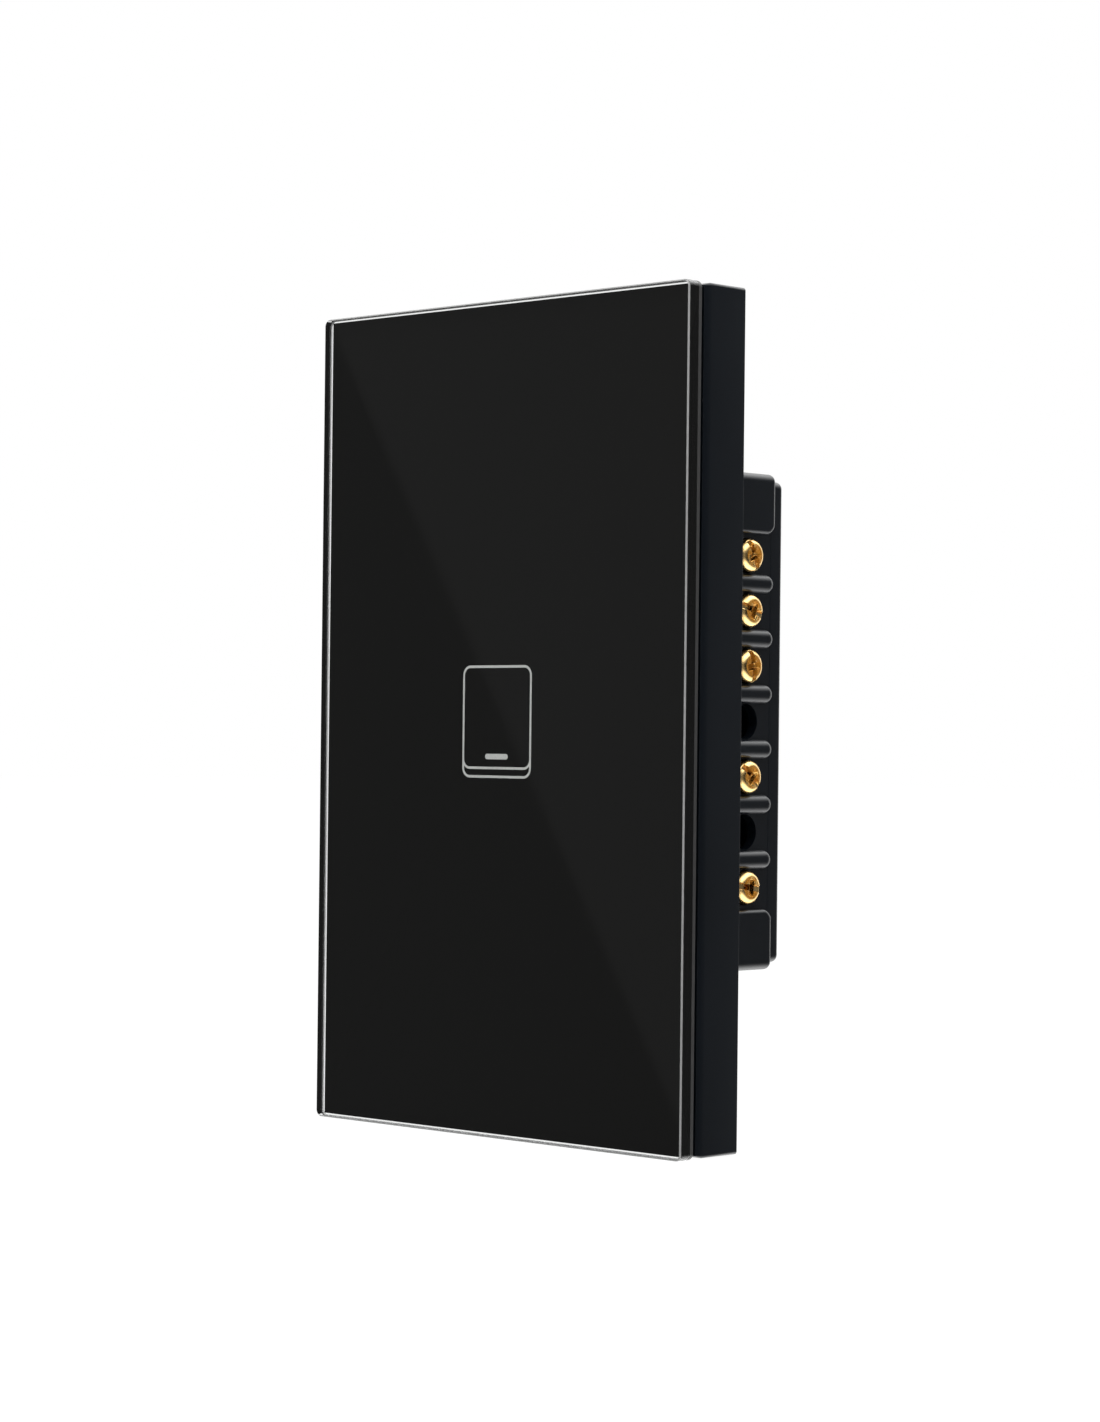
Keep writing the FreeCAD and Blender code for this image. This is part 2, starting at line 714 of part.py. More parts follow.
def cover_screws():
    for count, (x, z) in enumerate(corner_spots(), 1):
        slotted_screw(f"cover_screw_{count}", x, z, "rear_face - small_head_tall", 1,
                      "rear_cover_thick + block_hole_deep - small_head_tall - running_gap")


def front_cover():
    body = new_body("front_cover")
    y = ("cover_front", "flange_front")
    pad(body, y, [centred("2 * front_cover_side", "2 * front_cover_end")])
    dress(body, "Fillet", "front_cover_corner", lambda edge: runs_along(edge, "y"))
    front = number("cover_front")
    dress(body, "Fillet", "front_cover_edge", lambda edge: lies_on(edge, "y", front))
    inner = [f"2 * ({place} - front_cover_wall)" for place in ("front_cover_side", "front_cover_end")]
    pocket(body, ("cover_inside", "flange_front"), [centred(*inner)])
    pad(body, ("cover_inside", "touch_front"), circles=[(x, z, "post_radius") for x, z in post_spots()])
    pocket(body, ("touch_front - small_screw_grip - fit_gap", "touch_front"),
           circles=[(x, z, "small_screw_radius + running_gap") for x, z in post_spots()])
    z = around(0, "2 * (end_inside - block_high - fit_gap)")
    ledge, lip = "flange_front - cover_lip_tall", "flange_front + cover_lip_tall"
    wall = "front_cover_side - front_cover_wall / 2"
    left, right = "left_inside + fit_gap", "cell_inside - fit_gap"
    pad(body, (ledge, "flange_front"), [((f"-({wall})", f"{left} + cover_lip_thick"), z),
                                        ((f"{right} - cover_lip_thick", wall), z)])
    pad(body, ("flange_front", lip), [((left, f"{left} + cover_lip_thick"), z),
                                      ((f"{right} - cover_lip_thick", right), z)])
    y = ("cover_front", "cover_inside")
    pocket(body, y, [guide_outline("2 * fit_gap")])
    radius = "spring_radius + wire_half + spring_hole_gap"
    pocket(body, y, circles=[("mark_shift", "mark_rise + spring_rise", radius)])


def post_spots():
    return [("-post_side", "post_rise"), ("post_side", "-post_rise")]


def guide_outline(extra):
    """The light guide's outline behind the bar of the touch mark, larger by an amount."""
    return (around("mark_shift", f"bar_long + guide_flange + {extra}"),
            around("mark_rise - bar_drop", f"bar_thick + guide_flange + {extra}"))


def light_guide():
    x, z = guide_outline("0")
    flange_x, flange_z = guide_outline("2 * guide_flange")
    y = ("print_back + 2 * fit_gap", "cover_inside + guide_flange")
    keep("light_guide", join(block(x, y, z), block(flange_x, ("cover_inside", y[1]), flange_z)))


def status_light():
    y = ("touch_front - light_tall", "touch_front")
    keep("status_light", block(around("mark_shift", "light_wide"), y,
                               around("mark_rise - bar_drop", "light_high")))


def touch_board():
    body = new_body("touch_board")
    y = ("touch_front", "touch_back")
    margin = "(cover_lip_thick + 3 * fit_gap)"
    pad(body, y, [((f"left_inside + {margin}", f"cell_inside - {margin}"),
                   around(0, "2 * (end_inside - board_gap)"))])
    pocket(body, y, circles=[(x, z, "small_screw_radius + fit_gap") for x, z in post_spots()])


def board_screws():
    for count, (x, z) in enumerate(post_spots(), 1):
        slotted_screw(f"board_screw_{count}", x, z, "touch_back", 1, "touch_board_thick + small_screw_grip")


def touch_spring():
    """A wire coil that senses the finger through the glass, standing on the touch board."""
    path = doc.addObject("Part::Helix", "Path")
    path.SegmentLength = 1
    low = "touch_front - wire_half - running_gap"
    height = f"({low} - (print_back + wire_half + fit_gap))"
    bind(path, Radius="spring_radius", Height=height, Pitch=f"{height} / spring_turns")
    path.Placement = Placement(Vector(), Rotation(Vector(1, 0, 0), 90))
    put(path, x="mark_shift", y=low, z="mark_rise + spring_rise")
    ring = doc.addObject("Part::Circle", "Ring")
    bind(ring, Radius="wire_half")
    doc.recompute()
    start = path.Shape.Edges[0]
    way = start.tangentAt(start.FirstParameter)
    ring.Placement = Placement(start.valueAt(start.FirstParameter), Rotation(Vector(0, 0, 1), way))
    coil = doc.addObject("Part::Sweep", "Coil")
    coil.Sections = [ring]
    coil.Spine = (path, [f"Edge{i}" for i, _ in enumerate(path.Shape.Edges, 1)])
    coil.Solid = True
    coil.Frenet = True
    keep("touch_spring", coil)


def row_of(count, pitch):
    """The places of a number of like things, evenly spread about the middle."""
    return [f"{pitch} * {place - (count - 1) / 2}" for place in range(int(count))]


def touch_chip():
    """A small chip with legs on both sides, behind the touch board."""
    x, z = "link_side", "link_pitch * link_count / 2 + chip_above_link"
    y = ("touch_back + running_gap", "touch_back + chip_tall")
    pieces = [block(around(x, "chip_wide"), y, around(z, "chip_long"))]
    leg_x, leg_y = around(x, "chip_wide + 2 * chip_leg_out"), ("touch_back", "touch_back + chip_leg_thick")
    for leg in row_of(number("chip_leg_count"), "chip_leg_pitch"):
        pieces.append(block(leg_x, leg_y, around(f"{z} + {leg}", "chip_leg_wide")))
    keep("touch_chip", join(*pieces))


def radio_module():
    """The wireless board behind the touch board, with a metal can over its chip."""
    x, low = "left_inside + radio_side_gap + radio_wide / 2", "radio_low_end"
    y = ("touch_back", "touch_back + radio_thick")
    keep("radio_board", block(around(x, "radio_wide"), y, (low, f"{low} + radio_high")))
    can = block(around(x, "shield_wide"), (y[1], f"{y[1]} + shield_tall"),
                (f"{low} + shield_margin", f"{low} + shield_margin + shield_high"))
    keep("radio_shield", soften(can, number("shield_edge"), lambda edge: True))


def link_pins():
    """The places of the plug's pins along z."""
    return row_of(number("link_count"), "link_pitch")


def link():
    """The plug between the boards: a socket on one and a row of pins on the other."""
    x, z = around("link_side", "link_wide"), around(0, "link_pitch * link_count")
    bottom = "touch_back + socket_tall"
    hole, depth = "link_pin + 2 * fit_gap", ("touch_back + pin_floor", f"{bottom} + overrun")
    holes = [block(around("link_side", hole), depth, around(pin, hole)) for pin in link_pins()]
    keep("link_socket", cut(block(x, ("touch_back", bottom), z), *holes))
    pins = [block(around("link_side", "link_pin"), (f"{bottom} - pin_grip", "power_board_seat + pin_tail"),
                  around(pin, "link_pin")) for pin in link_pins()]
    keep("link_header", join(block(x, ("power_front - header_tall", "power_front"), z), *pins))


def cage_pins(cell):
    """The places of the two solder pins of a terminal cage."""
    return [("(cage_inner + cage_outer) / 2", f"{cell} * cell_pitch + {side} * cage_gap / 2")
            for side in (-1, 1)]


def relay_pins():
    return [(f"relay_side + {side} * relay_pin_wide / 2", f"relay_rise + {end} * relay_pin_high / 2")
            for side in (-1, 1) for end in (-1, 1)]


def capacitor_leads():
    return [(f"capacitor_side + {side} * capacitor_lead_pitch / 2", "capacitor_rise") for side in (-1, 1)]


def power_board():
    body = new_body("power_board")
    y = ("power_front", "power_board_seat")
    pad(body, y, [(("left_inside + board_gap", "cell_inside - board_gap"),
                   around(0, "2 * (end_inside - board_gap)"))])
    spots = [("link_side", pin) for pin in link_pins()] + relay_pins()
    for cell in FITTED_CELLS:
        spots += cage_pins(cell)
    pocket(body, y, [(around(x, "cage_pin + 2 * fit_gap"), around(z, "cage_pin + 2 * fit_gap"))
                     for x, z in spots])
    pocket(body, y, circles=[(x, z, "small_screw_radius + fit_gap") for x, z in power_screw_spots()])
    pocket(body, y, circles=[(x, z, "cage_pin / 2 + fit_gap") for x, z in capacitor_leads()])


def power_screw_spots():
    return [("left_block", "block_rise"), ("right_block", "-block_rise")]


def power_screws():
    for count, (x, z) in enumerate(power_screw_spots(), 1):
        slotted_screw(f"power_screw_{count}", x, z, "power_front", -1,
                      "power_board_thick + block_hole_deep - running_gap")


def terminal(count, cell, twist):
    """A brass cage on the power board, the clamp plate inside it and the screw that drives the plate."""
    z = f"{cell} * cell_pitch"
    cage = block(("cage_inner", "cage_outer"), ("power_board_seat", "cage_back"), around(z, "cage_high"))
    room = block(("cage_room_inner", "cage_room_outer"),
                 ("power_board_seat + cage_wall", "cage_back + overrun"),
                 around(z, "cage_high - 2 * cage_side_wall"))
    hole = rod("x", "terminal_screw_radius + running_gap",
               ("cage_room_outer - clamp_gap", "cage_outer + overrun"), y="screw_depth", z=z)
    pins = [block(around(x, "cage_pin"), ("power_front - pin_tail", "power_board_seat + cage_wall"),
                  around(pin_z, "cage_pin")) for x, pin_z in cage_pins(cell)]
    keep(f"terminal_{count}", join(cut(cage, room, hole), *pins))
    plate = block(("clamp_inner", "clamp_outer"), around("screw_depth", "clamp_wide"),
                  around(z, "clamp_high"))
    plate_hole = rod("x", "tip_radius + running_gap", ("clamp_inner - overrun", "clamp_outer + overrun"),
                     y="screw_depth", z=z)
    keep(f"clamp_plate_{count}", cut(plate, plate_hole))
    terminal_screw(f"terminal_screw_{count}", z, twist)


def terminal_screw(node, place, twist):
    """A pan-head screw with a slot and a cross recess, its head proud of the cell's floor."""
    shank_end = "clamp_outer + fit_gap - head_seat"
    tip_end = "clamp_inner + fit_gap - head_seat"
    head = rod("z", "terminal_head_radius", ("0", "terminal_head_tall"))
    tall = number("terminal_head_tall")
    head = soften(head, number("terminal_head_edge"), lambda edge: lies_on(edge, "z", tall))
    shank = rod("z", "terminal_screw_radius", (shank_end, "0"))
    tip = rod("z", "tip_radius", (tip_end, shank_end))
    depth = ("terminal_head_tall - terminal_slot_deep", "terminal_head_tall + overrun")
    across = around(0, "terminal_slot")
    slot = block(around(0, "2 * terminal_head_radius + overrun"), across, depth)
    cross = block(across, around(0, "terminal_cross_long"), depth)
    screw = keep(node, cut(join(head, shank, tip), slot, cross))
    screw.Placement = Placement(Vector(), TURNS["x"] * Rotation(Vector(0, 0, 1), twist))
    put(screw, x="head_seat", y="screw_depth", z=place)


def relay():
    """The relay on the power board: base, case, coil on its yoke, a fixed contact and the armature."""
    seat = "power_board_seat"
    x, z = around("relay_side", "relay_wide"), around("relay_rise", "relay_high")
    inner_x = around("relay_side", "relay_wide - 2 * relay_wall")
    inner_z = around("relay_rise", "relay_high - 2 * relay_wall")
    top = f"{seat} + relay_tall"
    case = soften(block(x, (seat, top), z), number("relay_edge"),
                  lambda edge: not lies_on(edge, "y", number(seat)))
    keep("relay_case", cut(case, block(inner_x, (f"{seat} - overrun", f"{top} - relay_wall"), inner_z)))
    floor = f"{seat} + relay_base_thick"
    base = block(around("relay_side", "relay_wide - 2 * relay_wall - fit_gap"), (seat, floor),
                 around("relay_rise", "relay_high - 2 * relay_wall - fit_gap"))
    pins = [block(around(px, "cage_pin"), ("power_front - pin_tail", floor), around(pz, "cage_pin"))
            for px, pz in relay_pins()]
    keep("relay_base", join(base, *pins))

    low = "relay_rise - coil_long / 2 - coil_end_thick - yoke_thick - core_proud"
    pole = "relay_rise + coil_long / 2 + coil_end_thick"
    axis_y = f"{floor} + yoke_thick + running_gap + coil_end_radius"
    yoke_x = around("relay_side", "yoke_wide")
    arm = block(yoke_x, (floor, f"{floor} + yoke_thick"), (low, f"{pole} + armature_gap - running_gap"))
    heel = block(yoke_x, (floor, f"{axis_y} + core_radius"), (low, f"{low} + yoke_thick"))
    core = rod("z", "core_radius", (low, pole), x="relay_side", y=axis_y)
    face = f"{pole} + armature_gap"
    hinge = {"y": f"{floor} + yoke_thick + 2 * running_gap", "z": face}
    seat_groove = rod("x", "armature_bead + running_gap", yoke_x, **hinge)
    keep("relay_yoke", cut(join(arm, heel, core), seat_groove))
    coil_low = f"{low} + yoke_thick + running_gap"
    coil_high = f"{coil_low} + coil_long + 2 * coil_end_thick"
    winding = rod("z", "coil_radius", (coil_low, coil_high), x="relay_side", y=axis_y)
    spans = ((coil_low, f"{coil_low} + coil_end_thick"), (f"{coil_high} - coil_end_thick", coil_high))
    ends = [rod("z", "coil_end_radius", span, x="relay_side", y=axis_y) for span in spans]
    bore = rod("z", "core_radius + running_gap", (f"{coil_low} - overrun", f"{coil_high} + overrun"),
               x="relay_side", y=axis_y)
    keep("relay_coil", cut(join(winding, *ends), bore))

    contact_x = "relay_side + armature_wide / 2 - contact_radius"
    contact_y = f"{axis_y} + core_radius"
    fixed_top = f"{face} - contact_tall - contact_gap"
    blade_z = (f"{fixed_top} - contact_tall - blade_thick", f"{fixed_top} - contact_tall")
    blade = block(around(contact_x, "2 * contact_radius"), (floor, f"{contact_y} + contact_radius"), blade_z)
    fixed = rod("z", "contact_radius", (blade_z[1], fixed_top), x=contact_x, y=contact_y)
    keep("relay_fixed_contact", join(blade, fixed))
    plate = block(around("relay_side", "armature_wide"), (hinge["y"], f"{axis_y} + coil_end_radius"),
                  (face, f"{face} + armature_thick"))
    bead = rod("x", "armature_bead", yoke_x, **hinge)
    moving = rod("z", "contact_radius", (f"{face} - contact_tall", face), x=contact_x, y=contact_y)
    keep("relay_armature", join(plate, bead, moving))


def filter_capacitor():
    seat = "power_board_seat"
    top = number(seat) + number("capacitor_tall")
    can = rod("y", "capacitor_radius", (seat, f"{seat} + capacitor_tall"), x="capacitor_side",
              z="capacitor_rise")
    leads = [rod("y", "cage_pin / 2", ("power_front - pin_tail", seat), x=x, z=z)
             for x, z in capacitor_leads()]
    keep("filter_capacitor", join(soften(can, number("capacitor_edge"),
                                          lambda edge: lies_on(edge, "y", top)), *leads))


def transformer():
    """Two joined E-shaped cores and the coil round their middle leg."""
    seat, x, z = "power_board_seat", "transformer_side", "transformer_rise"
    core_y = around(f"{seat} + coil_body_tall / 2", "core_deep")
    room_x = around(x, "core_wide - 2 * core_yoke")
    windows = []
    for side in (-1, 1):
        low, high = mirrored(side, ("core_leg / 2", "core_high / 2 - core_yoke"))
        windows.append(block(room_x, core_y, (f"{z} + {low}", f"{z} + {high}")))
    keep("transformer_core", cut(block(around(x, "core_wide"), core_y, around(z, "core_high")), *windows))
    coil_x = around(x, "core_wide - 2 * core_yoke - 2 * fit_gap")
    coil = block(coil_x, (seat, f"{seat} + coil_body_tall"),
                 around(z, "core_high - 2 * core_yoke - 2 * fit_gap"))
    leg_y = around(f"{seat} + coil_body_tall / 2", "core_deep + 2 * running_gap")
    leg = block(around(x, "core_wide"), leg_y, around(z, "core_leg + 2 * running_gap"))
    keep("transformer_coil", cut(coil, leg))


def build():
    work_out_places()
    glass_panel()
    back_print(touch_mark())
    panel_tape()
    panel_frame()
    mounting_plate()
    plate_rivets()
    panel_clips()
    rear_housing()
    rear_cover()
    cover_screws()
    front_cover()
    light_guide()
    status_light()
    touch_board()
    board_screws()
    touch_spring()
    touch_chip()
    radio_module()
    link()
    power_board()
    power_screws()
    for count, (cell, twist) in enumerate(zip(FITTED_CELLS, SCREW_TWISTS), 1):
        terminal(count, cell, twist)
    relay()
    filter_capacitor()
    transformer()
    doc.recompute()


def check():
    """Stop if any object failed or any piece is empty or broken."""
    for item in doc.Objects:
        if {"Invalid", "Error"} & set(item.State):
            raise RuntimeError(f"{item.Name} ({item.Label}) failed: {item.State}")
    for node, item in NODES.items():
        if item.Shape.isNull() or not item.Shape.isValid() or not item.Shape.Solids:
            raise RuntimeError(f"{node} has no valid solid")


def write():
    os.makedirs("parts", exist_ok=True)
    for node, item in NODES.items():
        item.Shape.exportStep(f"parts/{node}.step")


build()
check()
write()
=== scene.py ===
import json
import math

import bpy
from mathutils import Matrix, Vector

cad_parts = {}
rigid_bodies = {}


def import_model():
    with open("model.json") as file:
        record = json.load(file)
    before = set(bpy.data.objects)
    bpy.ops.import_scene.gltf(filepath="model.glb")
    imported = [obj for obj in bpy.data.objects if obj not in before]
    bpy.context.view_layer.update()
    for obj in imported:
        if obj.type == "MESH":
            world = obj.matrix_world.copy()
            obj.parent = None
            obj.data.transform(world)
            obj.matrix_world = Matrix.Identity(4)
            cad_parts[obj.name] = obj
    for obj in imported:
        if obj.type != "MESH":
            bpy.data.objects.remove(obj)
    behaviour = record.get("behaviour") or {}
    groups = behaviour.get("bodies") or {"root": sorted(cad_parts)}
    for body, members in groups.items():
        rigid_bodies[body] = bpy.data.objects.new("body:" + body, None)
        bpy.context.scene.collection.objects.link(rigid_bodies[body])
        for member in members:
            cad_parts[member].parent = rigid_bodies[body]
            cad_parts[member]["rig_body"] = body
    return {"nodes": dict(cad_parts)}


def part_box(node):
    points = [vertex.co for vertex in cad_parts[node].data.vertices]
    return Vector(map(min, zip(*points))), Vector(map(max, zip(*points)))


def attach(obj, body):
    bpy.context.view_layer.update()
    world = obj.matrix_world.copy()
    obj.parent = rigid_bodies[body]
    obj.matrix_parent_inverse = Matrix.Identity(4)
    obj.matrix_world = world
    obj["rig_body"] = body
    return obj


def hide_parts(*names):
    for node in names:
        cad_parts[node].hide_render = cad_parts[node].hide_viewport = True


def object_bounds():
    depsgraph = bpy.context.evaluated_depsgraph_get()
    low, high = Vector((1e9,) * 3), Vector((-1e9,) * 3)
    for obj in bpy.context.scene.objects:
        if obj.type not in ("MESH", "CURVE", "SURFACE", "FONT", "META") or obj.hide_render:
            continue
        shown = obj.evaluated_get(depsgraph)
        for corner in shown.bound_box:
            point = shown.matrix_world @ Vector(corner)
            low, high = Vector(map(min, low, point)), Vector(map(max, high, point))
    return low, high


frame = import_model()
cad_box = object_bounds()

# Mounting plate: a flat stamping of zinc-plated steel that the two box screws hold to the wall box.
# Its edges are rolled by the press, and the plating shows fine spangle and long brush lines.


class Signal:
    """One output of a shader node. Sums and products of signals add Math nodes."""

    def __init__(self, nodes, socket):
        self.nodes = nodes
        self.socket = socket

    def math(self, operation, first, second):
        return self.nodes.node("ShaderNodeMath", {"operation": operation}, {0: first, 1: second})

    def __add__(self, other):
        return self.math("ADD", self, other)

    __radd__ = __add__

    def __sub__(self, other):
        return self.math("SUBTRACT", self, other)

    def __rsub__(self, other):
        return self.math("SUBTRACT", other, self)

    def __mul__(self, other):
        return self.math("MULTIPLY", self, other)

    __rmul__ = __mul__


class Nodes:
    """A tree of shader nodes, and the one method that adds a node to it."""

    def __init__(self, tree):
        self.tree = tree

    def node(self, kind, settings, inputs, output=0):
        made = self.tree.nodes.new(kind)
        for name, setting in settings.items():
            setattr(made, name, setting)
        self.feed(made, inputs)
        return Signal(self, made.outputs[output])

    def feed(self, node, inputs):
        for name, value in inputs.items():
            if isinstance(value, Signal):
                self.tree.links.new(value.socket, node.inputs[name])
            else:
                node.inputs[name].default_value = value

    def blend(self, share, first, second):
        """A colour between two colours."""
        return self.node("ShaderNodeMix", {"data_type": "RGBA"}, {0: share, 6: first, 7: second}, 2)

    def noise(self, scale, detail=2.0, where=None):
        inputs = {"Vector": where or self.place, "Scale": scale, "Detail": detail}
        return self.node("ShaderNodeTexNoise", {}, inputs)

    def ramp(self, value, low, high):
        """0 below low, 1 above high and a smooth rise between them."""
        return self.node("ShaderNodeMapRange", {"interpolation_type": "SMOOTHSTEP"},
                         {0: value, 1: low, 2: high, 3: 0.0, 4: 1.0})


class Finish(Nodes):
    """A material with one Principled shader. The fixed values go straight to its sockets."""

    def __init__(self, name, **fixed):
        self.material = bpy.data.materials.new(name)
        self.material.use_nodes = True
        super().__init__(self.material.node_tree)
        self.shader = self.tree.nodes["Principled BSDF"]
        self.feed(self.shader, {key.replace("_", " "): value for key, value in fixed.items()})
        self.place = self.node("ShaderNodeTexCoord", {}, {}, "Object")

    def surface(self, share, dark, light, roughness, height, depth):
        """Gives the shader a colour between two, a roughness and a relief of some depth in metres."""
        bump = self.node("ShaderNodeBump", {}, {"Height": height, "Distance": depth, "Strength": 1.0})
        colour = self.blend(share, dark, light)
        self.feed(self.shader, {"Base Color": colour, "Roughness": roughness, "Normal": bump})

    def stretched(self, along):
        """Object coordinates drawn out along one axis, for brush lines and moulding flow."""
        return self.node("ShaderNodeMapping", {}, {"Vector": self.place, "Scale": along})


def work_on(piece):
    bpy.ops.object.select_all(action="DESELECT")
    piece.select_set(True)
    bpy.context.view_layer.objects.active = piece


def apply_modifier(piece, kind, **settings):
    made = piece.modifiers.new(kind.lower(), kind)
    for name, setting in settings.items():
        setattr(made, name, setting)
    work_on(piece)
    bpy.ops.object.modifier_apply(modifier=made.name)


def smooth_faces(piece):
    """Smooth shading over rounded edges that keeps the flat faces flat."""
    work_on(piece)
    bpy.ops.object.shade_smooth_by_angle(angle=math.radians(40))
    apply_modifier(piece, "WEIGHTED_NORMAL", mode="FACE_AREA", weight=80, keep_sharp=True)


def round_edges(piece, width, segments=2, angle=35):
    """Rounds the sharp edges, and keeps the shading of the flat faces flat."""
    apply_modifier(piece, "BEVEL", width=width, segments=segments, limit_method="ANGLE",
                   angle_limit=math.radians(angle), use_clamp_overlap=False)
    smooth_faces(piece)


MERGE_WITHIN = 1e-6  # metres
FLAT_WITHIN = 0.5  # degrees


def softened_copy(node, width=0):
    """A copy of a solid with its triangles merged into faces. A width rounds its sharp edges."""
    piece = bpy.data.objects.new(node + "_finished", frame["nodes"][node].data.copy())
    bpy.context.scene.collection.objects.link(piece)
    work_on(piece)
    bpy.ops.mesh.customdata_custom_splitnormals_clear()
    bpy.ops.object.mode_set(mode="EDIT")
    bpy.ops.mesh.select_all(action="SELECT")
    bpy.ops.mesh.remove_doubles(threshold=MERGE_WITHIN)
    bpy.ops.mesh.dissolve_limited(angle_limit=math.radians(FLAT_WITHIN))
    bpy.ops.object.mode_set(mode="OBJECT")
    if width:
        round_edges(piece, width)
    else:
        smooth_faces(piece)
    return piece


def wear(thing, finish):
    thing.data.materials.clear()
    thing.data.materials.append(finish.material)


def fit(piece, node, finish=None):
    """The piece stands for a solid and moves with its body. A finish, when given, replaces its materials.
    """
    if finish:
        wear(piece, finish)
    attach(piece, frame["nodes"][node]["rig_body"])
    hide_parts(node)


def dress(finish, *nodes):
    """Gives a finish to solids that stay as they are."""
    for node in nodes:
        wear(frame["nodes"][node], finish)


zinc = Finish("zinc_plated_steel", Metallic=1.0)
brushed = zinc.noise(700.0, 4.0, zinc.stretched((1.0, 1.0, 0.06)))
spangle = zinc.noise(420.0, 3.0)
zinc.surface(spangle, (0.50, 0.51, 0.53, 1), (0.70, 0.71, 0.72, 1), 0.26 + 0.22 * brushed,
             brushed + 0.4 * spangle, 6e-6)
fit(softened_copy("mounting_plate", 0.00018), "mounting_plate", zinc)

# Rear housing: one moulding of matt black plastic with ribs between its terminal cells. The mould
# leaves a fine spark-eroded grain and faint flow marks.

black_plastic = Finish("moulded_black_plastic", Specular_IOR_Level=0.31)
flow = black_plastic.noise(90.0, 2.0, black_plastic.stretched((1.0, 1.0, 0.35)))
grain = black_plastic.noise(6500.0, 3.0)
black_plastic.surface(flow, (0.0022, 0.0034, 0.0052, 1), (0.0036, 0.0052, 0.0078, 1),
                      0.23 + 0.09 * grain + 0.05 * flow, grain, 4e-6)
fit(softened_copy("rear_housing"), "rear_housing", black_plastic)

# Plate rivets: four small steel rivets, headed in the press, that hold the housing's flange to the
# plate. Each has a low domed head.


def turned(name, outline, steps=64):
    """A round piece on the Z axis from its outline, which has points of radius and height."""
    bpy.ops.object.select_all(action="DESELECT")
    bpy.ops.mesh.primitive_plane_add(size=0.001, location=(0, 0, 0))
    piece = bpy.context.object
    piece.name = name
    bpy.ops.object.mode_set(mode="EDIT")
    bpy.ops.mesh.select_all(action="SELECT")
    bpy.ops.mesh.merge(type="CENTER")
    bpy.ops.transform.translate(value=(outline[0][0], 0, outline[0][1]))
    for (radius, height), (next_radius, next_height) in zip(outline, outline[1:]):
        step = (next_radius - radius, 0, next_height - height)
        bpy.ops.mesh.extrude_vertices_move(TRANSFORM_OT_translate={"value": step})
    bpy.ops.mesh.select_all(action="SELECT")
    bpy.ops.mesh.spin(steps=steps, angle=math.tau, center=(0, 0, 0), axis=(0, 0, 1))
    bpy.ops.mesh.select_all(action="SELECT")
    bpy.ops.mesh.remove_doubles(threshold=2e-6)
    bpy.ops.mesh.normals_make_consistent(inside=False)
    bpy.ops.object.mode_set(mode="OBJECT")
    bpy.ops.object.shade_smooth_by_angle(angle=math.radians(40))
    return piece


def arc(middle, radius, start, end, count=6):
    """Points of an outline on part of a circle, between two angles in degrees."""
    angles = [math.radians(start + (end - start) * i / count) for i in range(count + 1)]
    return [(middle[0] + radius * math.cos(a), middle[1] + radius * math.sin(a)) for a in angles]


def copy_to(model, name, place):
    """A copy of a model with its own mesh, turned and moved into place."""
    piece = bpy.data.objects.new(name, model.data.copy())
    bpy.context.scene.collection.objects.link(piece)
    piece.data.transform(place)
    return piece


def middle_of(node):
    low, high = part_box(node)
    return (low + high) / 2


TO_BACK = Matrix.Rotation(-math.pi / 2, 4, "X")
TO_FRONT = Matrix.Rotation(math.pi / 2, 4, "X")
TO_RIGHT = Matrix.Rotation(math.pi / 2, 4, "Y")

nickel = Finish("nickel_plated_steel", Metallic=1.0)
lathe = nickel.noise(2600.0, 3.0)
nickel.surface(nickel.noise(500.0), (0.60, 0.58, 0.55, 1), (0.78, 0.77, 0.74, 1), 0.18 + 0.2 * lathe,
               lathe, 4e-6)
rivet_low, rivet_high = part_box("plate_rivet_1")
rivet_long = rivet_high.y - rivet_low.y
rivet_head, rivet_shank, rivet_tall, rivet_edge, rivet_round = 0.0018, 0.0012, 0.0008, 0.0001, 0.0004
rivet_seat = rivet_long - rivet_tall
rivet = turned(
    "rivet",
    [(0, 0), (rivet_shank - rivet_edge, 0), (rivet_shank, rivet_edge),
     (rivet_shank, rivet_seat), (rivet_head - rivet_edge, rivet_seat)]
    + arc((rivet_head - rivet_round, rivet_long - rivet_round), rivet_round, -30, 60)
    + [(0.0008, rivet_long - 0.00003), (0, rivet_long)])
for count in range(1, 5):
    node = f"plate_rivet_{count}"
    spot = middle_of(node)
    piece = copy_to(rivet, node + "_headed", Matrix.Translation((spot.x, rivet_high.y, spot.z)) @ TO_FRONT)
    fit(piece, node, nickel)
bpy.data.objects.remove(rivet)

# Power board: a glass-fibre board with green solder mask and wide copper tracks, held by two
# nickel-plated pan-head screws.

board = Finish("solder_masked_board", Roughness=0.3, Coat_Weight=0.4, Coat_Roughness=0.15)
tracks = board.node("ShaderNodeTexBrick", {"offset": 0.37, "squash": 0.7, "squash_frequency": 3},
                    {"Vector": board.node("ShaderNodeMapping", {}, {"Vector": board.place,
                                          "Rotation": (math.pi / 2, 0, 0)}),
                     "Color1": (1, 1, 1, 1), "Color2": (0.6, 0.6, 0.6, 1), "Mortar": (0, 0, 0, 1),
                     "Scale": 60.0, "Mortar Size": 0.035, "Mortar Smooth": 0.1, "Brick Width": 0.5,
                     "Row Height": 0.2}, "Fac")
weave = board.noise(3000.0, 2.0)
board.surface(tracks, (0.012, 0.075, 0.030, 1), (0.028, 0.15, 0.060, 1), 0.24 + 0.14 * weave,
              tracks + 0.25 * weave, 3e-5)
dress(board, "power_board")


small_head, small_head_tall, small_shank, small_pitch = 0.0017, 0.0009, 0.0009, 0.00045
small_slot_wide, small_slot_deep, small_edge, small_round = 0.0005, 0.00045, 0.00008, 0.0003
blade_tall = 0.001


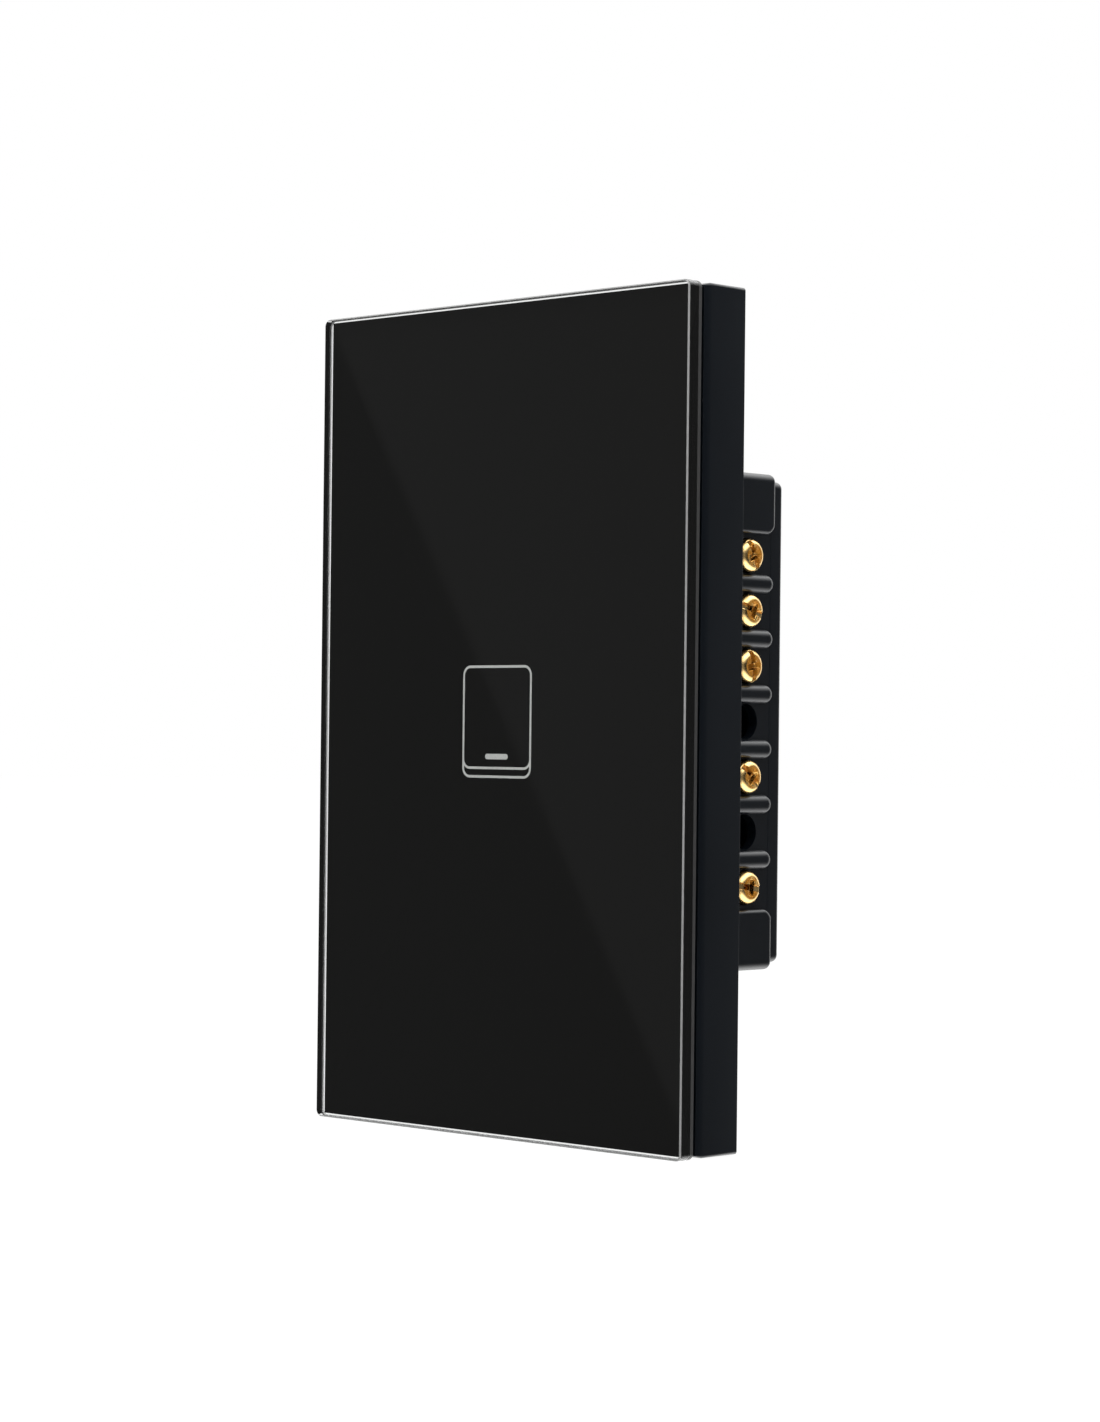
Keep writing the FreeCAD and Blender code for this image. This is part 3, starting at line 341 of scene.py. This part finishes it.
def small_screw(name, long):
    """A small pan-head screw on the Z axis, its head's seat at height 0 and its slot at the top."""
    threads = []
    for turn in range(int(long / small_pitch) - 1):
        low = -long + 0.0002 + turn * small_pitch
        threads += [(small_shank * 0.84, low), (small_shank, low + small_pitch / 2)]
    screw = turned(
        name,
        [(0, -long), (small_shank * 0.7, -long), *threads, (small_shank * 0.9, 0),
         (small_head - small_edge, 0), (small_head, small_edge)]
        + arc((small_head - small_round, small_head_tall - small_round), small_round, 0, 75)
        + [(0, small_head_tall)], 48)
    slot_middle = small_head_tall + blade_tall / 2 - small_slot_deep
    bpy.ops.mesh.primitive_cube_add(size=1, location=(0, 0, slot_middle))
    blade = bpy.context.object
    blade.scale = (2 * small_head + 0.001, small_slot_wide, blade_tall)
    bpy.ops.object.transform_apply(location=True, rotation=False, scale=True)
    apply_modifier(screw, "BOOLEAN", object=blade, operation="DIFFERENCE", solver="EXACT")
    bpy.data.objects.remove(blade)
    round_edges(screw, 0.00003, 1, 50)
    return screw


def place_screws(model, nodes, seat, turn):
    """Copies of a screw with their seats at one depth, each driven to another angle."""
    for node in nodes:
        spot = middle_of(node)
        twist = Matrix.Rotation(spot.z * 900, 4, "Z")
        fit(copy_to(model, node + "_turned", Matrix.Translation((spot.x, seat, spot.z)) @ turn @ twist),
            node, nickel)


board_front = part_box("power_board")[0].y
power_screw = small_screw("power_screw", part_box("power_screw_1")[1].y - board_front)
place_screws(power_screw, ("power_screw_1", "power_screw_2"), board_front, TO_FRONT)
bpy.data.objects.remove(power_screw)

# Relay: a dark blue case over a base, a copper coil on its iron yoke, a silver contact and the
# iron armature that tilts on the yoke's end.

relay_plastic = Finish("relay_case_plastic", Specular_IOR_Level=0.5)
sink = relay_plastic.noise(250.0)
relay_plastic.surface(sink, (0.010, 0.045, 0.16, 1), (0.014, 0.060, 0.21, 1), 0.30 + 0.12 * sink,
                      relay_plastic.noise(5000.0), 3e-6)
fit(softened_copy("relay_case", 0.0001), "relay_case", relay_plastic)
dress(relay_plastic, "relay_base")

enamelled_wire = Finish("wound_enamelled_wire", Roughness=0.3, Metallic=0.85, Coat_Weight=0.5)
turns = enamelled_wire.node("ShaderNodeTexWave", {"bands_direction": "Z"},
                            {"Vector": enamelled_wire.place, "Scale": 1100.0, "Distortion": 0.6,
                             "Detail Scale": 400.0})
enamelled_wire.surface(turns, (0.22, 0.06, 0.02, 1), (0.62, 0.24, 0.09, 1), 0.24 + 0.1 * turns, turns,
                       6e-5)
dress(enamelled_wire, "relay_coil")

iron = Finish("soft_iron", Metallic=1.0)
rolled = iron.noise(900.0, 4.0, iron.stretched((0.1, 1.0, 1.0)))
iron.surface(rolled, (0.30, 0.29, 0.28, 1), (0.44, 0.43, 0.41, 1), 0.32 + 0.2 * rolled, rolled, 5e-6)
dress(iron, "relay_yoke")
fit(softened_copy("relay_armature", 0.00006), "relay_armature", iron)

silver = Finish("silver_contact", Metallic=1.0)
pitted = silver.noise(3500.0, 4.0)
silver.surface(pitted, (0.62, 0.60, 0.56, 1), (0.86, 0.84, 0.80, 1), 0.2 + 0.2 * pitted, pitted, 4e-6)
dress(silver, "relay_fixed_contact")

# Filter capacitor: an aluminium can in a shrunk dark sleeve that is pulled in over its rim. Its two
# leads are soldered to the power board.

sleeve = Finish("shrunk_sleeve", Coat_Weight=0.3)
crinkle = sleeve.noise(1200.0, 3.0, sleeve.stretched((1.0, 0.3, 1.0)))
sleeve.surface(crinkle, (0.010, 0.012, 0.030, 1), (0.020, 0.024, 0.055, 1), 0.22 + 0.12 * crinkle,
               crinkle, 1.2e-5)
dress(sleeve, "filter_capacitor")

# Transformer: two sintered ferrite cores shaped like an E, glued at their legs, round a coil that is
# bound in yellow polyester tape.

ferrite = Finish("sintered_ferrite", Specular_IOR_Level=0.4)
sinter = ferrite.noise(4000.0, 5.0)
ferrite.surface(sinter, (0.022, 0.022, 0.024, 1), (0.050, 0.050, 0.053, 1), 0.5 + 0.2 * sinter, sinter,
                1e-5)
fit(softened_copy("transformer_core", 0.00012), "transformer_core", ferrite)

yellow_tape = Finish("polyester_tape", Coat_Weight=0.4)
lap = yellow_tape.node("ShaderNodeTexWave", {"bands_direction": "Y"},
                       {"Vector": yellow_tape.place, "Scale": 90.0, "Distortion": 1.5,
                        "Detail Scale": 60.0})
yellow_tape.surface(lap, (0.62, 0.40, 0.03, 1), (0.78, 0.55, 0.06, 1), 0.25 + 0.1 * lap, lap, 2e-5)
dress(yellow_tape, "transformer_coil")

# Terminal cages and clamp plates: pressed brass boxes soldered to the power board, each with a loose
# plate inside that the terminal screw drives against the wire.

brass = Finish("yellow_brass", Metallic=1.0)
tarnish = brass.noise(700.0, 3.0)
scratch = brass.noise(2400.0, 3.0, brass.stretched((1.0, 0.35, 1.0)))
brass.surface(tarnish, (0.80, 0.50, 0.17, 1), (0.96, 0.70, 0.32, 1), 0.20 + 0.14 * scratch, scratch,
              8e-6)
for count in range(1, 6):
    for node in (f"terminal_{count}", f"clamp_plate_{count}"):
        fit(softened_copy(node, 0.00008), node, brass)

# Terminal screws: five turned brass screws with domed heads, a slot and a cross recess, and a rolled
# thread. Their rims are bright. The middle of each head round the recess is painted a dark, dull brown
# as shade, with bare brass patches in it.

seat_x = 0.0220
screw_low, screw_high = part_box("terminal_screw_1")
head_radius, head_tall, head_edge = 0.00245, screw_high.x - seat_x, 0.00012
rim_tall, face_radius, wear_and_shade_radius, wear_and_shade_deep = 0.0012, 0.0014, 0.00165, 0.0012
shank_radius, root_radius, neck_radius, pitch = 0.00145, 0.00122, 0.0013, 0.0005
tip_radius, tip_edge, tip_long = 0.0009, 0.0002, 0.00135
shank_long = seat_x - screw_low.x - tip_long
thread = []
for turn in range(int(shank_long / pitch)):
    low = -shank_long + turn * pitch
    thread += [(root_radius, low + pitch / 10), (shank_radius, low + pitch / 2)]
shoulder = [(face_radius + (head_radius - face_radius) * math.cos(a),
             rim_tall + (head_tall - head_edge - rim_tall) * math.sin(a)) for a in
            (math.pi / 2 * step / 8 for step in range(9))]
terminal_screw = turned(
    "terminal_screw",
    [(0, -shank_long - tip_long), (tip_radius - tip_edge, -shank_long - tip_long),
     (tip_radius, -shank_long - tip_long + tip_edge), (tip_radius, -shank_long)]
    + thread + [(neck_radius, 0), (head_radius - head_edge, 0), (head_radius, head_edge)] + shoulder
    + [(0.0006, head_tall - 0.00004), (0, head_tall)], 96)


def carve(piece, long, wide, floor, top, draft):
    """Cuts a drafted recess with a rectangular floor down into a head."""
    bpy.ops.object.select_all(action="DESELECT")
    bpy.ops.mesh.primitive_plane_add(size=1, location=(0, 0, floor))
    recess = bpy.context.object
    bpy.ops.object.mode_set(mode="EDIT")
    bpy.ops.mesh.select_all(action="SELECT")
    bpy.ops.transform.resize(value=(long, wide, 1), center_override=(0, 0, floor))
    bpy.ops.mesh.select_all(action="SELECT")
    bpy.ops.mesh.extrude_region_move(TRANSFORM_OT_translate={"value": (0, 0, top - floor)})
    bpy.ops.transform.resize(value=(draft, draft, 1), center_override=(0, 0, 0))
    bpy.ops.mesh.select_all(action="SELECT")
    bpy.ops.mesh.normals_make_consistent(inside=False)
    bpy.ops.object.mode_set(mode="OBJECT")
    bpy.ops.object.transform_apply(location=True, rotation=False, scale=False)
    apply_modifier(piece, "BOOLEAN", object=recess, operation="DIFFERENCE", solver="EXACT")
    bpy.data.objects.remove(recess)


slot_long, slot_wide, slot_deep, slot_draft = 0.006, 0.00084, 0.0007, 1.12
cross_long, cross_wide, cross_deep, cross_draft = 0.0015, 0.0006, 0.0009, 2.2
cut_top = head_tall + 0.0005
carve(terminal_screw, slot_long, slot_wide, head_tall - slot_deep, cut_top, slot_draft)
carve(terminal_screw, cross_wide, cross_long, head_tall - cross_deep, cut_top, cross_draft)
round_edges(terminal_screw, 0.00007, 2, 40)
# The middle of each head is painted a dark, less metallic brown: painted shade in and round the recess.
# Its bare patches are worn brass.
worn_and_shaded_brass = Finish("worn_and_shaded_brass")
patches = worn_and_shaded_brass.noise(1000.0, 3.0)
dents = worn_and_shaded_brass.noise(2200.0, 2.0)
bare = worn_and_shaded_brass.ramp(patches, 0.50, 0.66)
worn_and_shaded_brass.surface(bare, (0.46, 0.19, 0.014, 1), (0.94, 0.60, 0.19, 1), 0.55 - 0.3 * bare,
                   patches + 0.4 * dents, 2.0e-4)
worn_and_shaded_brass.feed(worn_and_shaded_brass.shader, {"Metallic": 0.6 + 0.4 * bare})
wear(terminal_screw, brass)
terminal_screw.data.materials.append(worn_and_shaded_brass.material)
# Faces near the top of the head and inside this radius take the painted shade.
for face in terminal_screw.data.polygons:
    if face.center.z > head_tall - wear_and_shade_deep and math.hypot(*face.center.xy) < wear_and_shade_radius:
        face.material_index = 1
for count, twist in enumerate((25, 70, 10, 48, 82), 1):
    node = f"terminal_screw_{count}"
    spot = middle_of(node)
    seated = Matrix.Translation((seat_x, spot.y, spot.z)) @ TO_RIGHT
    place = seated @ Matrix.Rotation(math.radians(twist), 4, "Z")
    fit(copy_to(terminal_screw, node + "_turned", place), node)
bpy.data.objects.remove(terminal_screw)

# Rear cover: the housing's lid, moulded in the same black plastic, with a funnel for each wire. Four
# sunk screws hold it on the housing's corner blocks.

fit(softened_copy("rear_cover", 0.00012), "rear_cover", black_plastic)
cover_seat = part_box("rear_cover")[1].y - small_head_tall
screw_low, screw_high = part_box("cover_screw_1")
cover_screw = small_screw("cover_screw", screw_high.y - small_head_tall - screw_low.y)
place_screws(cover_screw, [f"cover_screw_{count}" for count in range(1, 5)], cover_seat, TO_BACK)
bpy.data.objects.remove(cover_screw)

# Touch board: a second glass-fibre board, which two screws hold to the front cover's posts. It carries
# the plug's socket, the touch chip, the wireless module in its tinned can, the light and its guide,
# and the spring that senses a finger through the glass.

dress(board, "touch_board", "radio_board")
board_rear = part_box("touch_board")[1].y
board_screw = small_screw("board_screw", board_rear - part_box("board_screw_1")[0].y)
place_screws(board_screw, ("board_screw_1", "board_screw_2"), board_rear, TO_BACK)
bpy.data.objects.remove(board_screw)

chip = Finish("moulded_chip", Specular_IOR_Level=0.4)
matt = chip.noise(5000.0, 3.0)
chip.surface(matt, (0.014, 0.014, 0.015, 1), (0.028, 0.028, 0.030, 1), 0.45 + 0.2 * matt, matt, 6e-6)
dress(chip, "touch_chip", "link_socket", "link_header")

tinned = Finish("tinned_can", Metallic=1.0)
dull = tinned.noise(600.0, 3.0)
tinned.surface(dull, (0.56, 0.56, 0.55, 1), (0.74, 0.74, 0.73, 1), 0.22 + 0.2 * dull, dull, 8e-6)
dress(tinned, "radio_shield")

clear = Finish("clear_moulding", Transmission_Weight=0.9, IOR=1.49)
haze = clear.noise(700.0, 3.0)
clear.surface(haze, (0.80, 0.83, 0.84, 1), (0.90, 0.92, 0.92, 1), 0.12 + 0.2 * haze, haze, 4e-6)
dress(clear, "light_guide")

lamp = Finish("light_chip")
gel = lamp.noise(1500.0)
lamp.surface(gel, (0.80, 0.70, 0.32, 1), (0.92, 0.86, 0.58, 1), 0.3 + 0.1 * gel, gel, 5e-6)
dress(lamp, "status_light")

spring_steel = Finish("spring_steel", Metallic=1.0)
drawn = spring_steel.noise(1500.0, 3.0)
spring_steel.surface(drawn, (0.40, 0.39, 0.37, 1), (0.60, 0.59, 0.56, 1), 0.2 + 0.2 * drawn, drawn,
                     4e-6)
spring_low, spring_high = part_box("touch_spring")
wire_radius, coil_turns, steps = 0.0003, 4, 24
coil_radius = (spring_high.x - spring_low.x) / 2 - wire_radius
middle = middle_of("touch_spring")
start, end = spring_high.y - wire_radius, spring_low.y + wire_radius
coil = bpy.data.curves.new("touch_spring_wire", "CURVE")
coil.dimensions, coil.bevel_depth, coil.bevel_resolution, coil.use_fill_caps = "3D", wire_radius, 3, True
path = coil.splines.new("POLY")
path.points.add(coil_turns * steps)
for i, point in enumerate(path.points):
    turn = math.tau * i / steps
    point.co = (middle.x + coil_radius * math.cos(turn), start + (end - start) * i / (coil_turns * steps),
                middle.z + coil_radius * math.sin(turn), 1)
spring = bpy.data.objects.new("touch_spring_wire", coil)
bpy.context.scene.collection.objects.link(spring)
work_on(spring)
bpy.ops.object.convert(target="MESH")
bpy.ops.object.shade_smooth_by_angle(angle=math.radians(60))
fit(spring, "touch_spring", spring_steel)

# Front cover: a shallow tray over the touch board, moulded in the same black plastic. It is open at
# the spring and the light guide.

fit(softened_copy("front_cover", 0.0001), "front_cover", black_plastic)

# Spring clips: four bent strips of spring steel on the plate. The bead of each snaps over a ridge
# inside the frame and holds the glass panel on.

for count in range(1, 5):
    node = f"panel_clip_{count}"
    fit(softened_copy(node, 0.00006), node, spring_steel)

# Panel frame: a ring behind the glass with a sloped front edge, moulded in the same black plastic.
# Glass and frame come off together when they are pulled forwards.

fit(softened_copy("panel_frame", 0.00008), "panel_frame", black_plastic)

# Panel tape: a die-cut ring of black foam tape on the frame's lip. It carries the glass and leaves
# the shadow gap round it.

foam = Finish("black_foam_tape", Specular_IOR_Level=0.3)
cells = foam.node("ShaderNodeTexVoronoi", {}, {"Vector": foam.place, "Scale": 3500.0}, "Distance")
foam.surface(cells, (0.004, 0.004, 0.005, 1), (0.010, 0.010, 0.011, 1), 0.75 + 0.15 * cells, cells,
             3e-5)
dress(foam, "panel_tape")

# Back print and touch mark: two screen-printed inks on the rear of the glass, black all over and a
# light grey rocker key with its bar.

black_ink = Finish("black_screen_print", Specular_IOR_Level=0.2)
mesh_marks = black_ink.noise(2500.0, 2.0)
black_ink.surface(mesh_marks, (0.0035, 0.0035, 0.0033, 1), (0.0050, 0.0050, 0.0048, 1),
                  0.5 + 0.1 * mesh_marks, mesh_marks, 3e-7)
dress(black_ink, "back_print")
grey_ink = Finish("grey_screen_print", Specular_IOR_Level=0.3)
opacity = grey_ink.noise(3000.0, 3.0)
grey_ink.surface(opacity, (0.58, 0.58, 0.57, 1), (0.72, 0.72, 0.71, 1), 0.45 + 0.1 * opacity, opacity,
                 1e-6)
dress(grey_ink, "touch_mark")

# Glass panel: a plate of clear tempered glass. Its faces are fire-polished, and its rims are ground
# to a narrow bevel and polished less finely. The rear band of the rims is painted almost black: painted
# shade by the shadow gap.

glass_low, glass_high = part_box("glass_panel")
size = glass_high - glass_low
glass_corner, glass_bevel, rear_band_start = 0.001, 0.0002, glass_high.y - 0.0008
bpy.ops.mesh.primitive_cube_add(size=1, location=(glass_low + glass_high) / 2)
glass = bpy.context.object
glass.name = "glass_plate"
glass.scale = size
bpy.ops.object.transform_apply(location=True, rotation=False, scale=True)
bpy.ops.object.mode_set(mode="EDIT")
bpy.ops.mesh.select_mode(type="EDGE")
bpy.ops.mesh.select_all(action="DESELECT")
bpy.ops.object.mode_set(mode="OBJECT")
for edge in glass.data.edges:
    first, second = (glass.data.vertices[i].co for i in edge.vertices)
    edge.select = abs(first.y - second.y) > size.y / 2
bpy.ops.object.mode_set(mode="EDIT")
bpy.ops.mesh.bevel(offset=glass_corner, segments=6, profile=0.5)
bpy.ops.object.mode_set(mode="OBJECT")
for rim in (glass_low.y, glass_high.y):
    bpy.ops.object.mode_set(mode="EDIT")
    bpy.ops.mesh.select_mode(type="EDGE")
    bpy.ops.mesh.select_all(action="DESELECT")
    bpy.ops.object.mode_set(mode="OBJECT")
    for edge in glass.data.edges:
        edge.select = all(abs(glass.data.vertices[i].co.y - rim) < 1e-6 for i in edge.vertices)
    bpy.ops.object.mode_set(mode="EDIT")
    bpy.ops.mesh.bevel(offset=glass_bevel * math.sqrt(2), segments=1, offset_type="WIDTH")
    bpy.ops.object.mode_set(mode="OBJECT")
bpy.ops.object.mode_set(mode="EDIT")
bpy.ops.mesh.select_all(action="SELECT")
bpy.ops.mesh.bisect(plane_co=(0, rear_band_start, 0), plane_no=(0, 1, 0))
bpy.ops.object.mode_set(mode="OBJECT")
bpy.ops.object.shade_smooth_by_angle(angle=math.radians(25))


def polished_glass(name, clearest, dullest, roughest):
    """Clear glass that lets the lamps' light through to the prints behind it."""
    finish = Finish(name, Transmission_Weight=1.0, IOR=1.5)
    smear = finish.noise(45.0, 4.0)
    finish.feed(finish.shader, {"Base Color": finish.blend(smear, dullest, clearest),
                                "Roughness": 0.004 + roughest * smear})
    lamp_ray = finish.node("ShaderNodeLightPath", {}, {}, "Is Shadow Ray")
    lets_through = finish.node("ShaderNodeBsdfTransparent", {}, {"Color": (0.91, 0.92, 0.915, 1)})
    mixed = finish.node("ShaderNodeMixShader", {}, {
        0: lamp_ray, 1: Signal(finish, finish.shader.outputs[0]), 2: lets_through})
    finish.feed(finish.tree.nodes["Material Output"], {"Surface": mixed})
    return finish


def grey(level):
    return (level, level, level, 1)


def ground_glass(name, dark, light, passes):
    """Glass as the grinding wheel leaves it. Dark colours paint it as ground glass in shade."""
    finish = Finish(name, Transmission_Weight=passes, IOR=1.5)
    wheel = finish.noise(1800.0, 3.0)
    finish.surface(wheel, grey(dark), grey(light), 0.35 + 0.15 * wheel, wheel, 3e-6)
    return finish.material


face_glass = polished_glass("polished_glass", (0.98, 0.985, 0.982, 1), (0.965, 0.975, 0.97, 1), 0.012)
rim_glass = polished_glass("polished_rim", (0.66, 0.72, 0.69, 1), (0.58, 0.65, 0.61, 1), 0.05)
fit(glass, "glass_panel", face_glass)
# The rear band of the rims takes opaque ground glass painted near black: painted shade where it meets the
# shadow gap.
for material in (rim_glass.material, ground_glass("ground_bevel", 0.20, 0.30, 0.25),
                 ground_glass("rear_rim_painted_shade", 0.018, 0.030, 0.0)):
    glass.data.materials.append(material)
for face in glass.data.polygons:
    if abs(face.normal.y) < 0.3:
        face.material_index = 3 if face.center.y > rear_band_start else 1
    elif abs(face.normal.y) < 0.95:
        face.material_index = 2

# Studio: a white floor and surroundings that the camera and clear glass see as pure white. What
# polished surfaces reflect is a light tent: bright above, below and behind, dark towards the room.

bpy.ops.mesh.primitive_plane_add(size=6, location=(0, 0, cad_box[0][2] - 0.0001))
floor = bpy.context.object
floor.name = "floor"
paper = Finish("floor_paper", Roughness=0.9)
fibre = paper.noise(40.0)
paper.surface(fibre, grey(0.80), grey(0.84), 0.85 + 0.1 * fibre, fibre, 1e-5)
seen = (paper.node("ShaderNodeLightPath", {}, {}, "Is Camera Ray")
        + paper.node("ShaderNodeLightPath", {}, {}, "Is Transmission Ray"))
glow = paper.node("ShaderNodeEmission", {}, {"Color": (1, 1, 1, 1), "Strength": 1.07})
paper.feed(paper.tree.nodes["Material Output"], {"Surface": paper.node(
    "ShaderNodeMixShader", {}, {0: seen * 0.9, 1: Signal(paper, paper.shader.outputs[0]), 2: glow})})
floor.visible_glossy = False
wear(floor, paper)

world = bpy.data.worlds.new("light_tent")
bpy.context.scene.world = world
world.use_nodes = True
tent = Nodes(world.node_tree)
way = tent.node("ShaderNodeTexCoord", {}, {}, "Generated")


def towards(direction):
    """How far a ray of the world heads along a direction, from -1 to 1."""
    return tent.node("ShaderNodeVectorMath", {"operation": "DOT_PRODUCT"}, {0: way, 1: direction}, "Value")


to_right, inwards, rise = (tent.node("ShaderNodeSeparateXYZ", {}, {"Vector": way}, axis) for axis in "XYZ")
backdrop = towards((-0.6985, 0.7156, 0.0))
card = towards((0.645, -0.644, 0.41))
light_side = 0.2 + 0.8 * tent.ramp(to_right, -0.5, 0.1)
above = light_side * tent.ramp(rise, 0.28, 0.74) * (0.3 + 0.7 * tent.ramp(rise, 0.98, 0.86))
below = light_side * tent.ramp(0 - rise, 0.28, 0.74)
screen = tent.ramp(backdrop, 0.25, 0.65) * tent.ramp(backdrop, 0.98, 0.90)
room = tent.ramp(0 - inwards, 0.1, 0.6)
wall = tent.ramp(inwards, 0.30, 0.78)
reflected = (0.02 + 0.14 * wall + room * (0.131 + 0.066 * tent.ramp(card, -0.002, 0.002))
             + 3.2 * above + 2.6 * below + 1.4 * screen)
is_seen = (tent.node("ShaderNodeLightPath", {}, {}, "Is Camera Ray")
           + tent.node("ShaderNodeLightPath", {}, {}, "Is Transmission Ray"))
is_glossy = tent.node("ShaderNodeLightPath", {}, {}, "Is Glossy Ray")
ambient = 0.35
level = is_seen + (1 - is_seen) * (is_glossy * reflected + (1 - is_glossy) * ambient)
tent.feed(world.node_tree.nodes["Background"], {"Color": (1, 1, 1, 1), "Strength": level})


def softbox(name, place, size, watts):
    """A square area lamp that faces the middle of the object. Its reflection is part of the tent's."""
    light = bpy.data.lights.new(name, "AREA")
    light.size, light.energy = size, watts
    box = bpy.data.objects.new(name, light)
    box.location = place
    box.rotation_euler = (-Vector(place)).to_track_quat("-Z", "Y").to_euler()
    box.visible_glossy = False
    bpy.context.scene.collection.objects.link(box)


softbox("overhead", (0.25, -0.10, 0.75), 0.5, 6.0)
softbox("room_side", (0.15, -0.75, 0.45), 0.5, 6.0)

# Camera: it stands to the right of the panel at half its height, and sees the object as the
# photograph does.

heading, tilt, roll = 0.773259, 0.0074673, 0.010855
forward = Vector((-math.sin(heading) * math.cos(tilt), math.cos(heading) * math.cos(tilt), math.sin(tilt)))
right = Vector((math.cos(heading), math.sin(heading), 0))
up = right.cross(forward)
turned_right = right * math.cos(roll) + up * math.sin(roll)
turned_up = up * math.cos(roll) - right * math.sin(roll)
axes = Matrix((turned_right, turned_up, -forward)).transposed()
lens = bpy.data.cameras.new("camera")
lens.lens, lens.sensor_width, lens.clip_start, lens.clip_end = 86.507, 36.0, 0.01, 50.0
camera = bpy.data.objects.new("camera", lens)
camera.matrix_world = Matrix.Translation((0.347811, -0.356443, -0.002476)) @ axes.to_4x4()
bpy.context.scene.collection.objects.link(camera)
bpy.context.scene.camera = camera
bpy.context.scene.view_settings.view_transform = "Standard"
